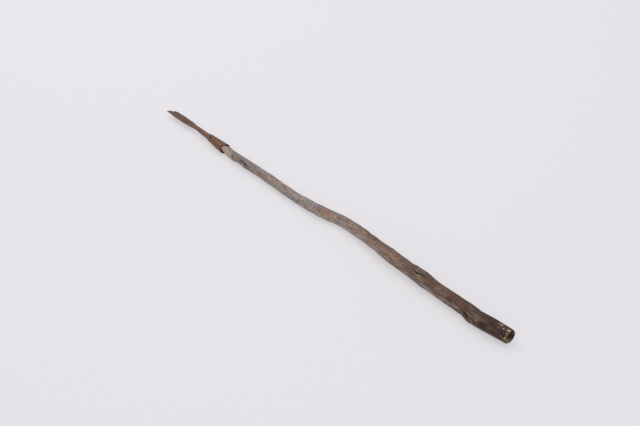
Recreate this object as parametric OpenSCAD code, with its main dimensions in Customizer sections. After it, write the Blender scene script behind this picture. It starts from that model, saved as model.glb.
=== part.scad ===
// Harpoon: a forged socketed iron head on a crooked shaft cut from a natural branch.
// It lies on the floor with its point towards -X and its butt towards +X.
// The origin is on the floor, under the middle of the whole object.

/* [Iron head] */
// Length of the iron head, from its point to the mouth of its socket
head_l = 235; // [190:1:285]
// Width of the blade over its two edges
blade_w = 20.8; // [17:0.2:26]
// Thickness of the blade along its middle
blade_t = 5.2; // [3.6:0.2:6.4]
// Angle between the broken end of the blade and its length
break_angle = 35; // [25:1:60]
// Width of the neck behind the blade
neck_w = 11.2; // [9:0.2:14]
// Thickness of the neck behind the blade
neck_t = 8.6; // [7:0.2:11]

/* [Socket] */
// Outside diameter of the socket at its mouth
mouth_d = 27.8; // [23:0.1:34]
// Thickness of the rolled wall at the mouth
wall = 2.1; // [1.6:0.1:3]
// Depth of the hollow, measured from the mouth
socket_depth = 70; // [56:1:85]
// Diameter of the hollow at its inner end
hollow_end_d = 11.6; // [9:0.2:13]
// How far one edge of the rolled plate stands over the other
lap = 1.1; // [0.4:0.1:1.6]
// How deep the rounded corners of the plate leave the mouth open at the seam
mouth_notch = 8.5; // [0:0.5:12]
// Angle of the socket to the blade, seen from above
socket_angle = 3.5; // [0:0.5:6]

/* [Shaft] */
// Length of wood in view, from the socket to the butt
shaft_l = 965; // [760:5:1200]
// Diameter of the branch half way along
mid_d = 28.8; // [24:0.2:34]
// Diameter of the branch at the butt
butt_d = 37; // [31:0.5:44]
// How far the branch wanders sideways, 1 as drawn
crook = 1; // [0.6:0.1:1.2]
// Tilt of the sawn butt from square
saw_angle = 5; // [0:1:10]

/* [Fit] */
// Gap between the whittled end and the hollow, at the inner end where it seats
seat_gap = 0.35; // [0.3:0.05:0.6]
// Gap all round the wood at the mouth of the socket
mouth_gap = 1.2; // [0.6:0.1:1.6]
// Gap between the tip of the wood and the bottom of the hollow
end_gap = 1.5; // [1:0.5:4]
// Bare stretch between the mouth and the shoulder of the branch
shoulder_gap = 2; // [1:0.5:5]
// How far the branch stands above its whittled end at the shoulder
shoulder_step = 0.7; // [0.5:0.1:2]

/* [Hidden] */
$fn = 64;

overall_l = head_l + shaft_l;
fore_d = mouth_d - 2 * wall - 2 * mouth_gap + 2 * shoulder_step;
iron_colour = [0.34, 0.25, 0.2];
wood_colour = [0.43, 0.36, 0.31];

// The socket's axis meets the mouth at this height and this far to the side of the blade's line
axis_z = mouth_d / 2;
mouth_side = 3.3;
blade_side = 9.2;

// Corner counts round a section, and steps between one station and the next
iron_corners = 40;
iron_steps = 3;
bark_corners = 36;
bark_steps = 4;

// Where the plate starts to wrap round, measured back from the point
wrap_start = head_l - socket_depth - 13;
// Length of the blade and the neck, up to where the plate widens for the socket
flat_l = wrap_start - 13;
// Directions of the seam round the section: where it opens near the neck, and along the socket
seam_open = 112;
seam_run = 138;
seam_gap = 4;
// The corner of a blade section that falls exactly on its edge needs the first corner here
plain_seam = 90 + 180 * 2.5 / iron_corners;

// Smooth curve through a list of rows, at row i and part t of the way to the next
function row_near(rows, i) = rows[min(max(i, 0), len(rows) - 1)];
function blend(a, b, c, d, t) =
    0.5 * (2 * b + (c - a) * t
        + (2 * a - 5 * b + 4 * c - d) * t * t
        + (3 * b - a - 3 * c + d) * t * t * t);
function curve(rows, i, t) =
    blend(row_near(rows, i - 1), rows[i], row_near(rows, i + 1), row_near(rows, i + 2), t);
function smooth_rows(rows, steps) = [
    for (i = [0:len(rows) - 2]) for (k = [0:steps - 1]) curve(rows, i, k / steps),
    rows[len(rows) - 1]
];

// Angle brought into the half turn on either side of zero
function turned(a) = a - 360 * floor((a + 180) / 360);
function bell(x) = exp(-x * x);
function signed_pow(v, p) = sign(v) * pow(abs(v), p);

// Closed skin over rings that all have the same number of corners
module skin(rings) {
    n = len(rings[0]);
    last = len(rings) - 1;
    sides = [
        for (i = [0:last - 1]) for (k = [0:n - 1]) let (m = (k + 1) % n, a = i * n, b = a + n)
            each [[a + k, b + k, b + m], [a + k, b + m, a + m]]
    ];
    ends = [[for (k = [0:n - 1]) k], [for (k = [n - 1:-1:0]) last * n + k]];
    polyhedron([for (ring = rings) each ring], concat(sides, ends), convexity = 6);
}

// Eye shape with two pointed ends, as a crack or a slit opens
module eye(length, width) {
    r = (length * length + width * width) / (4 * width);
    intersection() {
        translate([0, r - width / 2]) circle(r, $fn = 120);
        translate([0, width / 2 - r]) circle(r, $fn = 120);
    }
}

// Stations of the iron head, each: distance back from the point, centre to the side of the
// mouth's centre, half width, half thickness, squareness, seam direction, seam gap, lap
point_share = 0.82;
function socket_side(x) = mouth_side + tan(socket_angle) * (head_l - x);
function socket_r(x) =
    let (t = (x - (head_l - socket_depth)) / socket_depth, inner = hollow_end_d / 2 + 3.4)
    inner + (mouth_d / 2 - inner) * t;
// A station of the socket: where it is, how much it's flattened, seam direction, share of the lap
function socket_station(x, less, seam, share) =
    [x, socket_side(x), socket_r(x), socket_r(x) - less, 2, seam, 1, share];
IRON = [
    [0, blade_side + 0.8, blade_w / 2 * point_share, blade_t * 0.4, 1.6, plain_seam, 0, 0],
    [flat_l * 0.19, blade_side, blade_w / 2, blade_t * 0.45, 1.6, plain_seam, 0, 0],
    [flat_l * 0.37, blade_side, blade_w / 2, blade_t * 0.5, 1.6, plain_seam, 0, 0],
    [flat_l * 0.54, blade_side, blade_w / 2 * 0.94, blade_t * 0.55, 1.7, plain_seam, 0, 0],
    [flat_l * 0.69, blade_side, (blade_w + neck_w) / 4, neck_t * 0.4, 2, plain_seam, 0, 0],
    [flat_l * 0.8, blade_side, neck_w / 2 + 0.5, neck_t * 0.46, 2.6, plain_seam, 0, 0],
    [flat_l * 0.88, blade_side - 0.2, neck_w / 2, neck_t / 2, 3, plain_seam, 0, 0],
    [flat_l, blade_side - 1.2, neck_w / 2 + 0.6, neck_t / 2 + 1, 3, plain_seam, 0, 0],
    [wrap_start, blade_side - 1.8, neck_w / 2 + 0.9, neck_t / 2 + 1.8, 2.6, plain_seam, 0, 0],
    [wrap_start + 7, blade_side - 1.7, neck_w / 2 + 1.9, neck_t / 2 + 2.6, 2.2, seam_open, 0.6, 0.2],
    socket_station(wrap_start + 19, 0.5, seam_open + 12, 0.8),
    socket_station(wrap_start + 36, 0.2, seam_run, 1),
    socket_station(head_l - 22, 0, seam_run + 2, 1),
    socket_station(head_l, 0, seam_run, 1)
];

// Direction of corner k: evenly spaced on the blade, and drawn apart only at the seam on the socket
function iron_direction(s, k) =
    let (even = 360 / iron_corners, open = even + (seam_gap - even) * s[6])
    s[5] + open / 2 + (360 - open) * k / (iron_corners - 1);
// Height of the upper layer over the round, most at the seam and gone a quarter turn on
function lap_rise(s, a) =
    let (past = a - s[5]) past < 100 ? s[7] * lap * (1 - past / 100) : 0;
function iron_ring(s) = [
    for (k = [0:iron_corners - 1])
        let (a = iron_direction(s, k), rise = lap_rise(s, a))
        [
            s[0],
            s[1] + (s[2] + rise) * signed_pow(cos(a), 2 / s[4]),
            axis_z + (s[3] + rise) * signed_pow(sin(a), 2 / s[4])
        ]
];

// Places what is drawn along +Z on the socket's axis, with +Z from the mouth towards the point
module on_socket_axis() {
    translate([head_l, mouth_side, axis_z]) rotate([0, -90, -socket_angle]) children();
}

// Places what is drawn along +Z on a point of the middle line, turned to a direction of the section
module at_direction(x, side, height, a) {
    translate([x, side, height]) rotate([a - 90, 0, 0]) children();
}

// The hollow is a plain cone, a little wider than the mouth asks so that it cuts the rim cleanly
module hollow() {
    slope = (mouth_d / 2 - wall - hollow_end_d / 2) / socket_depth;
    over = 10;
    translate([0, 0, -over])
        cylinder(h = socket_depth + over, r1 = mouth_d / 2 - wall + slope * over, r2 = hollow_end_d / 2);
}

// Where the blade has broken off, from one edge to the other
module broken_end() {
    translate([0, blade_side + 0.8 - blade_w / 2 * point_share, 0]) rotate([0, 0, break_angle])
        translate([-head_l, 0, 0]) cube([2 * head_l, head_l, mouth_d]);
}

module iron_head() {
    color(iron_colour) difference() {
        skin([for (s = smooth_rows(IRON, iron_steps)) iron_ring(s)]);
        on_socket_axis() hollow();
        broken_end();
        // The two rounded corners of the plate leave a bay at the end of the seam
        notch_r = mouth_d / 2;
        at_direction(head_l + notch_r - mouth_notch, mouth_side, axis_z, seam_run)
            cylinder(h = mouth_d, r = notch_r);
        // The seam stays open where the two edges first come together
        at_direction(wrap_start + 21, socket_side(wrap_start + 21), axis_z, seam_open + 8)
            linear_extrude(mouth_d) eye(15, 2.2);
    }
}

// Stations of the branch, each: share of the length in view, offset to the side of the socket's
// mouth, swell on the diameter, height of the underside over the floor
BRANCH = [
    [0, 0, 0, axis_z - fore_d / 2],
    [0.015, -0.7, -0.5, axis_z - fore_d / 2 + 0.2],
    [0.04, -1.9, -1.3, 3],
    [0.085, -2, -1.3, 3.2],
    [0.135, -1, -2.2, 3.2],
    [0.19, -3.2, -1.2, 3],
    [0.25, -3.6, -2.4, 2.6],
    [0.29, -1.4, -2.6, 2.4],
    [0.345, -0.4, 1, 2],
    [0.385, 7.8, -0.6, 0.7],
    [0.42, 15, -0.4, 0],
    [0.48, 13.5, 0.2, 1.8],
    [0.54, 7.9, -0.4, 4.2],
    [0.6, 1.9, 3, 5],
    [0.665, 0.8, 0.6, 3],
    [0.71, -0.4, 3.8, 2],
    [0.77, -2.7, 0, 2],
    [0.845, -2.4, 0.7, 1],
    [0.885, -7.2, 2.4, 0],
    [0.935, -4.2, 2.8, 0.3],
    [0.97, -2, 0.8, 0.8],
    [1, -1, -2, 1.2]
];

// Knots and stubs of side twigs, each: share of the length, direction round the branch,
// height, half length along the branch, half spread round it in degrees
KNOTS = [
    [0.08, 225, 1.2, 12, 50],
    [0.3, 250, 0.9, 16, 45],
    [0.335, 99, 1, 9, 28],
    [0.385, 30, 1.2, 14, 40],
    [0.532, 66, 1.3, 12, 35],
    [0.705, 116, 2.4, 28, 60],
    [0.715, 320, 1.2, 24, 50],
    [0.873, 235, 2.2, 19, 45]
];

// Openings in the bark, each: share of the length, direction round the branch, turn against the
// grain, length, width, depth
OPENINGS = [
    [0.346, 113, 8, 17, 4, 5],
    [0.711, 115, 6, 54, 3, 5],
    [0.868, 163, -4, 26, 3.4, 6]
];

// Flats that the knife left where the branch is pared down to enter the socket,
// each: direction round the branch, depth at the shoulder, how far back it runs out
PARED = [
    [20, 0.6, 12],
    [52, 0.5, 10],
    [84, 0.6, 14],
    [112, 0.55, 20],
    [140, 0.65, 29],
    [166, 0.6, 27],
    [192, 0.65, 30],
    [222, 0.6, 24],
    [252, 0.55, 19],
    [290, 0.5, 13],
    [325, 0.55, 16],
    [352, 0.5, 11]
];

// Straight taper of the branch in two stretches, which the swells are added to
function taper(share) =
    share < 0.5 ? fore_d + (mid_d - fore_d) * share * 2 : mid_d + (butt_d - mid_d) * (share - 0.5) * 2;
function knot_rise(knot, share, a) =
    knot[2] * bell((share - knot[0]) * shaft_l / knot[3]) * bell(turned(a - knot[1]) / knot[4]);
// The section is a little oval and three-sided, and turns slowly with the grain
function grain_turn(share) = 260 * share;
function bark_r(s, a) =
    let (r = (taper(s[0]) + s[2]) / 2, grown = min(1, s[0] / 0.08))
    r * (1 + grown * (0.022 * cos(2 * a - grain_turn(s[0])) + 0.014 * cos(3 * a + 2 * grain_turn(s[0]))))
    + ([for (knot = KNOTS) 1] * [for (knot = KNOTS) knot_rise(knot, s[0], a)]);
function pared_r(s, a) =
    let (back = s[0] * shaft_l, r = taper(0) / 2)
    min([for (flat = PARED)
        let (off = turned(a - flat[0]))
        abs(off) < 60 && back < flat[2] ? (r - flat[1] * (1 - back / flat[2])) / cos(off) : 2 * r]);
function underside(s) =
    max([for (k = [0:bark_corners - 1]) let (a = 360 * k / bark_corners) -bark_r(s, a) * sin(a)]);
function bark_ring(s) =
    let (rise = bark_height(s))
    [
        for (k = [0:bark_corners - 1])
            let (a = 360 * k / bark_corners, r = min(bark_r(s, a), pared_r(s, a)))
            [bark_x(s[0]), bark_side(s) + r * cos(a), rise + r * sin(a)]
    ];
shoulder_x = head_l + shoulder_gap;
// The branch is drawn past the butt and then sawn off
bark_end = overall_l + 12;
function bark_x(share) = shoulder_x + share * (bark_end - shoulder_x);
function bark_station(share) =
    [share, for (column = [1:3]) lookup(share, [for (s = BRANCH) [s[0], s[column]]])];
function bark_side(s) = mouth_side + crook * s[1];
function bark_height(s) = s[3] + underside(s);

// Tapered end of the branch, pared round to fill the hollow, with a short root inside the branch
module tenon() {
    slope = (mouth_d / 2 - wall - hollow_end_d / 2) / socket_depth;
    tip_r = hollow_end_d / 2 + slope * end_gap - seat_gap;
    mouth_r = mouth_d / 2 - wall - mouth_gap;
    length = socket_depth - end_gap;
    root = shoulder_gap + 4;
    rotate_extrude() polygon([[0, -root], [mouth_r, -root], [mouth_r, 0], [tip_r, length], [0, length]]);
}

// Everything past the butt, cut off at the saw's angle
module sawn_off() {
    end = bark_station(1);
    reach = 2 * butt_d;
    lean = (taper(1) + end[2]) / 2 * sin(saw_angle) * sqrt(2);
    translate([overall_l - lean, bark_side(end), bark_height(end)])
        rotate([0, -saw_angle, -saw_angle]) translate([0, -reach / 2, -reach / 2]) cube(reach);
}

// Cracks and holes where the knots have dried and opened
module knot_openings() {
    for (opening = OPENINGS) {
        s = bark_station(opening[0]);
        at_direction(bark_x(s[0]), bark_side(s), bark_height(s), opening[1])
            translate([0, 0, bark_r(s, opening[1]) - opening[5]]) rotate([0, 0, opening[2]])
                linear_extrude(3 * opening[5]) eye(opening[3], opening[4]);
    }
}

module shaft() {
    color(wood_colour) difference() {
        union() {
            skin([for (s = smooth_rows(BRANCH, bark_steps)) bark_ring(s)]);
            on_socket_axis() tenon();
        }
        sawn_off();
        knot_openings();
    }
}

// The middle of the object's width goes over the origin
bark_sides = [for (s = smooth_rows(BRANCH, bark_steps)) for (p = bark_ring(s)) p[1]];
middle = (max(bark_sides) + min(bark_sides)) / 2;
module placed() {
    translate([-overall_l / 2, -middle, 0]) children();
}

placed() iron_head();
placed() shaft();
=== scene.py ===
"""Looks of an old harpoon: a forged, socketed iron head on a crooked branch shaft.

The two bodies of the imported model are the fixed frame. Each is stood for by a detailed mesh
that follows the same stations, in millimetres from the point of the blade, and is finished
with node materials.
"""

from types import SimpleNamespace

import bpy
import numpy as np
from bpy.props import FloatProperty, FloatVectorProperty, PointerProperty
from mathutils import Matrix, Vector


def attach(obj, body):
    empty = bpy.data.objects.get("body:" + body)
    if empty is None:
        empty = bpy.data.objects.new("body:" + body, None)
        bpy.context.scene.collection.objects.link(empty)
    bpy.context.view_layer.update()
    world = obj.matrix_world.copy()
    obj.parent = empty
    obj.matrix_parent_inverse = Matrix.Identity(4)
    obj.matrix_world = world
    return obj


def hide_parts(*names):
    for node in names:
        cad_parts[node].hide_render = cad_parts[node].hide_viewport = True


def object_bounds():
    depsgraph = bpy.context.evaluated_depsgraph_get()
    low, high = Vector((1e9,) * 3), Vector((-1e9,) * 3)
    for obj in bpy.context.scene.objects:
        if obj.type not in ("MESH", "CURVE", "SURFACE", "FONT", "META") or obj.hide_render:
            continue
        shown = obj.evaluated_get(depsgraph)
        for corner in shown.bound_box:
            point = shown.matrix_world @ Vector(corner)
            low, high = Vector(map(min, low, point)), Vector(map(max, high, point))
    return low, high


bl_info = {
    "name": "Harpoon",
    "version": (1, 0, 0),
    "blender": (4, 5, 0),
    "location": "3D View > Sidebar > Harpoon",
    "description": "Forged iron head and branch shaft of an old harpoon, with their finishes",
    "category": "Object",
}

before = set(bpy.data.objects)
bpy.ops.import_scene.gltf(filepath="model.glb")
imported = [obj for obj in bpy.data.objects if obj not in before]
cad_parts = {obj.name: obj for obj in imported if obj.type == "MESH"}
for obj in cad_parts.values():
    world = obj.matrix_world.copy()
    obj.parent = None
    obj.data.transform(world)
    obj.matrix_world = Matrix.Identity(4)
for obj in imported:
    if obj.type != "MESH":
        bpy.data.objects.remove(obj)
CAD_BOX = [list(corner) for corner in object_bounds()]

MM = 0.001
# Lengths of the head and of everything, in millimetres
HEAD_L = 235.0
OVERALL_L = 1200.0
# Socket: mouth, walls at the mouth and at the root, hollow, height of the lap, depth of the bay
# in the mouth's edge, wear of that edge, lean of the axis, its side and height at the mouth
MOUTH_D = 27.8
WALL = 2.1
ROOT_WALL = 3.4
HOLLOW_DEPTH = 70.0
HOLLOW_END_D = 11.6
LAP = 1.1
BAY_DEPTH = 8.5
MOUTH_WEAR = 3.4
SOCKET_ANGLE = 3.5
MOUTH_SIDE = 3.3
AXIS_Z = MOUTH_D / 2
# Blade and neck: side of the middle line, widths and thicknesses, slant of the break, width left there
BLADE_SIDE = 9.2
BLADE_W = 20.8
BLADE_T = 5.2
NECK_W = 11.2
NECK_T = 8.6
BREAK_ANGLE = 35.0
POINT_SHARE = 0.82
# Where the plate begins to wrap round, where the flat iron ends, and directions of the seam: on
# the flat iron, where it stands open and where it is closed
WRAP_START = HEAD_L - HOLLOW_DEPTH - 13
FLAT_L = WRAP_START - 13
BLADE_SEAM = 101
SEAM_OPEN = 112.0
SEAM_RUN = 138.0
# Gaps between the iron and the wood
MOUTH_GAP = 1.2
SEAT_GAP = 0.35
TIP_GAP = 1.5
SHOULDER_GAP = 2.0
# Shaft: its diameters at the head, half way and at the butt, slant of the saw cut, and in how many
# directions its knotty outline is measured
FORE_D = 22.6
MID_D = 28.8
BUTT_D = 37.0
SAW_ANGLE = 5.0
BARK_CORNERS = 36


def socket_side(x):
    """Side of the socket's axis at a distance from the point."""
    return MOUTH_SIDE + np.tan(np.radians(SOCKET_ANGLE)) * (HEAD_L - x)


def socket_r(x):
    """Outside radius of the socket at a distance from the point."""
    inner = HOLLOW_END_D / 2 + ROOT_WALL
    return inner + (MOUTH_D / 2 - inner) * (x - (HEAD_L - HOLLOW_DEPTH)) / HOLLOW_DEPTH


def hollow_r(x):
    """Inside radius of the socket at a distance from the point."""
    share = (x - (HEAD_L - HOLLOW_DEPTH)) / HOLLOW_DEPTH
    return HOLLOW_END_D / 2 + (MOUTH_D / 2 - WALL - HOLLOW_END_D / 2) * share


# Stations of the forging: distance from the point, side, half width, half thickness,
# squareness, seam direction, share of the lap
FORGING = [
    [0, BLADE_SIDE + 0.8, BLADE_W / 2 * POINT_SHARE, BLADE_T * 0.4, 1.6, BLADE_SEAM, 0],
    [FLAT_L * 0.19, BLADE_SIDE, BLADE_W / 2, BLADE_T * 0.45, 1.6, BLADE_SEAM, 0],
    [FLAT_L * 0.37, BLADE_SIDE, BLADE_W / 2, BLADE_T * 0.5, 1.6, BLADE_SEAM, 0],
    [FLAT_L * 0.54, BLADE_SIDE, BLADE_W / 2 * 0.94, BLADE_T * 0.55, 1.7, BLADE_SEAM, 0],
    [FLAT_L * 0.69, BLADE_SIDE, (BLADE_W + NECK_W) / 4, NECK_T * 0.4, 2, BLADE_SEAM, 0],
    [FLAT_L * 0.8, BLADE_SIDE, NECK_W / 2 + 0.5, NECK_T * 0.46, 2.6, BLADE_SEAM, 0],
    [FLAT_L * 0.88, BLADE_SIDE - 0.2, NECK_W / 2, NECK_T / 2, 3, BLADE_SEAM, 0],
    [FLAT_L, BLADE_SIDE - 1.2, NECK_W / 2 + 0.6, NECK_T / 2 + 1, 3, BLADE_SEAM, 0],
    [WRAP_START, BLADE_SIDE - 1.8, NECK_W / 2 + 0.9, NECK_T / 2 + 1.8, 2.6, BLADE_SEAM, 0],
    [WRAP_START + 7, BLADE_SIDE - 1.7, NECK_W / 2 + 1.9, NECK_T / 2 + 2.6, 2.2, SEAM_OPEN, 0.2],
]
# The rest is the socket: distance, how much flatter than round, seam direction, share of the lap
for at, less, turn, share in (
    (WRAP_START + 19, 0.5, SEAM_OPEN + 12, 0.8), (WRAP_START + 36, 0.2, SEAM_RUN, 1),
    (HEAD_L - 22, 0, SEAM_RUN + 2, 1), (HEAD_L, 0, SEAM_RUN, 1),
):
    FORGING.append([at, socket_side(at), socket_r(at), socket_r(at) - less, 2, turn, share])

# Stations of the branch: share of its length, side, swell, height of the underside
BRANCH = (
    (0, 0, 0, AXIS_Z - FORE_D / 2),
    (0.015, -0.7, -0.5, AXIS_Z - FORE_D / 2 + 0.2),
    (0.04, -1.9, -1.3, 3),
    (0.085, -2, -1.3, 3.2),
    (0.135, -1, -2.2, 3.2),
    (0.19, -3.2, -1.2, 3),
    (0.25, -3.6, -2.4, 2.6),
    (0.29, -1.4, -2.6, 2.4),
    (0.345, -0.4, 1, 2),
    (0.385, 7.8, -0.6, 0.7),
    (0.42, 15, -0.4, 0),
    (0.48, 13.5, 0.2, 1.8),
    (0.54, 7.9, -0.4, 4.2),
    (0.6, 1.9, 3, 5),
    (0.665, 0.8, 0.6, 3),
    (0.71, -0.4, 3.8, 2),
    (0.77, -2.7, 0, 2),
    (0.845, -2.4, 0.7, 1),
    (0.885, -7.2, 2.4, 0),
    (0.935, -4.2, 2.8, 0.3),
    (0.97, -2, 0.8, 0.8),
    (1, -1, -2, 1.2),
)
# Knots: share of the length, direction, height, half length, half spread in degrees
KNOTS = (
    (0.08, 225, 1.2, 12, 50), (0.3, 250, 0.9, 16, 45), (0.335, 99, 1, 9, 28), (0.385, 30, 1.2, 14, 40),
    (0.532, 66, 1.3, 12, 35), (0.705, 116, 2.4, 28, 60), (0.715, 320, 1.2, 24, 50),
    (0.873, 235, 2.2, 19, 45),
)
# Low lumps over buds that never grew: distance, direction, height, half length, half spread
LUMPS = (
    (243, 226, 1.3, 7, 34), (256, 218, 1.3, 6, 34), (270, 216, 1.5, 7, 36), (270, 160, 0.5, 7, 28),
    (254, 40, -0.8, 8, 34), (286, 214, -0.7, 7, 38), (274, 212, 0.5, 10, 40), (296, 210, -0.7, 11, 42),
    (318, 204, 0.2, 9, 40), (340, 120, -0.3, 14, 60), (349, 40, 0.6, 14, 38), (350, 215, 0.7, 12, 38),
    (402, 40, 1, 18, 38), (425, 218, -0.9, 16, 40), (430, 20, 0.4, 14, 40), (458, 40, 0.7, 22, 38),
    (516, 40, -0.8, 12, 38), (518, 215, 1.9, 26, 40), (505, 250, 0.5, 12, 40), (568, 215, -1, 14, 40),
    (584, 35, 0.9, 14, 38), (616, 215, 1, 16, 40), (668, 160, 0.4, 14, 50), (700, 40, 0.6, 16, 38),
    (722, 40, 0.9, 12, 35), (770, 218, -1.1, 26, 40), (806, 265, 0.5, 16, 40), (868, 42, 0.9, 12, 38),
    (898, 45, 1.6, 10, 35), (935, 215, 1.3, 10, 35), (955, 44, -0.6, 14, 38), (995, 42, 0.6, 16, 38),
    (1015, 216, 0.9, 30, 40), (1054, 215, 1, 10, 38), (1052, 42, -0.8, 14, 38), (1083, 215, 1, 9, 35),
    (1094, 45, 0.9, 10, 35), (1130, 215, 1, 20, 45), (1128, 45, 0.4, 18, 40), (1170, 165, 0.5, 12, 50),
    (1197, 20, 0.9, 9, 45),
)
# Knife flats at the head end: direction, depth at the shoulder, how far back they run out
PARED = (
    (20, 0.8, 4), (52, 0.8, 2.5), (84, 0.9, 4), (112, 0.9, 10), (140, 1.1, 27), (166, 1, 25), (192, 1, 28),
    (222, 0.3, 13), (252, 1, 17), (290, 0.9, 11), (325, 0.95, 14), (352, 0.8, 9),
)
# Opened crack of the big knot: distance, direction and half width at each bend
KNOT_CRACK = (
    (901, 112, 0.4), (908, 115.5, 0.9), (914, 120.4, 1.6), (919, 121.6, 2.2), (924, 118.2, 2.1),
    (929, 113.6, 1.8), (935, 111.8, 1.5), (942, 113, 1.2), (949, 116.6, 0.8), (958, 122, 0.4),
)
# Drying checks along the grain: start, end, direction at each, half width, depth
CHECKS = (
    (1066, 1103, 167, 160, 3.6, 5), (919, 945, 158, 182, 0.9, 1.8), (267, 280, 134, 130, 0.8, 0.9),
    (650, 742, 262, 272, 0.6, 1.6), (980, 1104, 20, 31, 0.8, 2.2), (420, 505, 330, 341, 0.5, 1.4),
    (1120, 1199, 232, 226, 0.9, 2.6), (1146, 1199, 330, 335, 0.8, 2.4), (1156, 1167, 79, 63, 1.1, 1.5),
    (560, 618, 45, 51, 0.5, 1.2), (770, 850, 200, 207, 0.5, 1.3), (300, 352, 190, 196, 0.45, 0.9),
)
# Scars where side twigs grew: distance, direction, half length, half width, rim, hole depth
SCARS = (
    (577, 113, 8, 5, 0.5, 0.7), (273, 158, 6.5, 4.5, 0.5, 0.15), (819, 60, 7, 5, 0.7, 1.4),
    (1083, 228, 11, 8, 0.7, 1.8), (640, 214, 7, 5, 0.5, 1.5), (452, 262, 6, 4.5, 0.5, 1.3),
    (872, 350, 9, 6.5, 0.7, 2.2), (1010, 268, 8, 6, 0.6, 1.7), (366, 38, 5, 4, 0.4, 1),
    (704, 318, 6, 5, 0.5, 1.4), (308, 148, 4, 3, 0.3, 0.8),
)
# Places where the outer wood has broken away at the butt: distance, direction, half length,
# half width, depth as a share of the torn depth
TEARS = (
    (1166.5, 79, 4, 1.2, 0.86), (1174, 73.5, 4.5, 1.4, 0.86), (1172.4, 88.5, 5, 1.4, 0.95),
    (1165, 92, 2, 0.9, 0.5), (1182.6, 101.5, 2.2, 1.5, 0.95), (1194.6, 87, 3.8, 3.2, 1),
    (1190.6, 100, 1.6, 1.2, 0.9), (1188, 84, 1.6, 0.8, 0.8), (1195.6, 124, 1, 5, 0.6),
    (1195.8, 160, 2, 2.2, 1), (1192.4, 172, 1.4, 1, 0.7), (1196.6, 186, 1.6, 2.2, 0.75),
    (1197.6, 210, 1.6, 3, 0.6), (1198.8, 262, 1.2, 3, 0.5), (1199.2, 297, 1.2, 1.8, 0.8),
    (1176, 262, 6, 3, 0.7), (1184, 20, 4, 1.6, 0.5), (1190, 312, 5, 3, 0.7),
)
# Splinters of the end face that are still pale: side and height from its middle, half width,
# half height, strength
FACE_CHIPS = (
    (1.5, 16.4, 4.2, 2.4, 1), (-15.4, 4.4, 2, 3, 1), (-7.5, 12.2, 1.8, 3.4, 0.6), (-6, -5.4, 2.7, 2.6, 0.7),
    (-3, -11.8, 3.4, 2.4, 0.75), (4.7, -10.7, 1, 1.1, 1), (-11.4, -2.4, 1.7, 2.4, 0.5),
    (-10, 8, 1.2, 1.6, 0.5),
)
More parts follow.
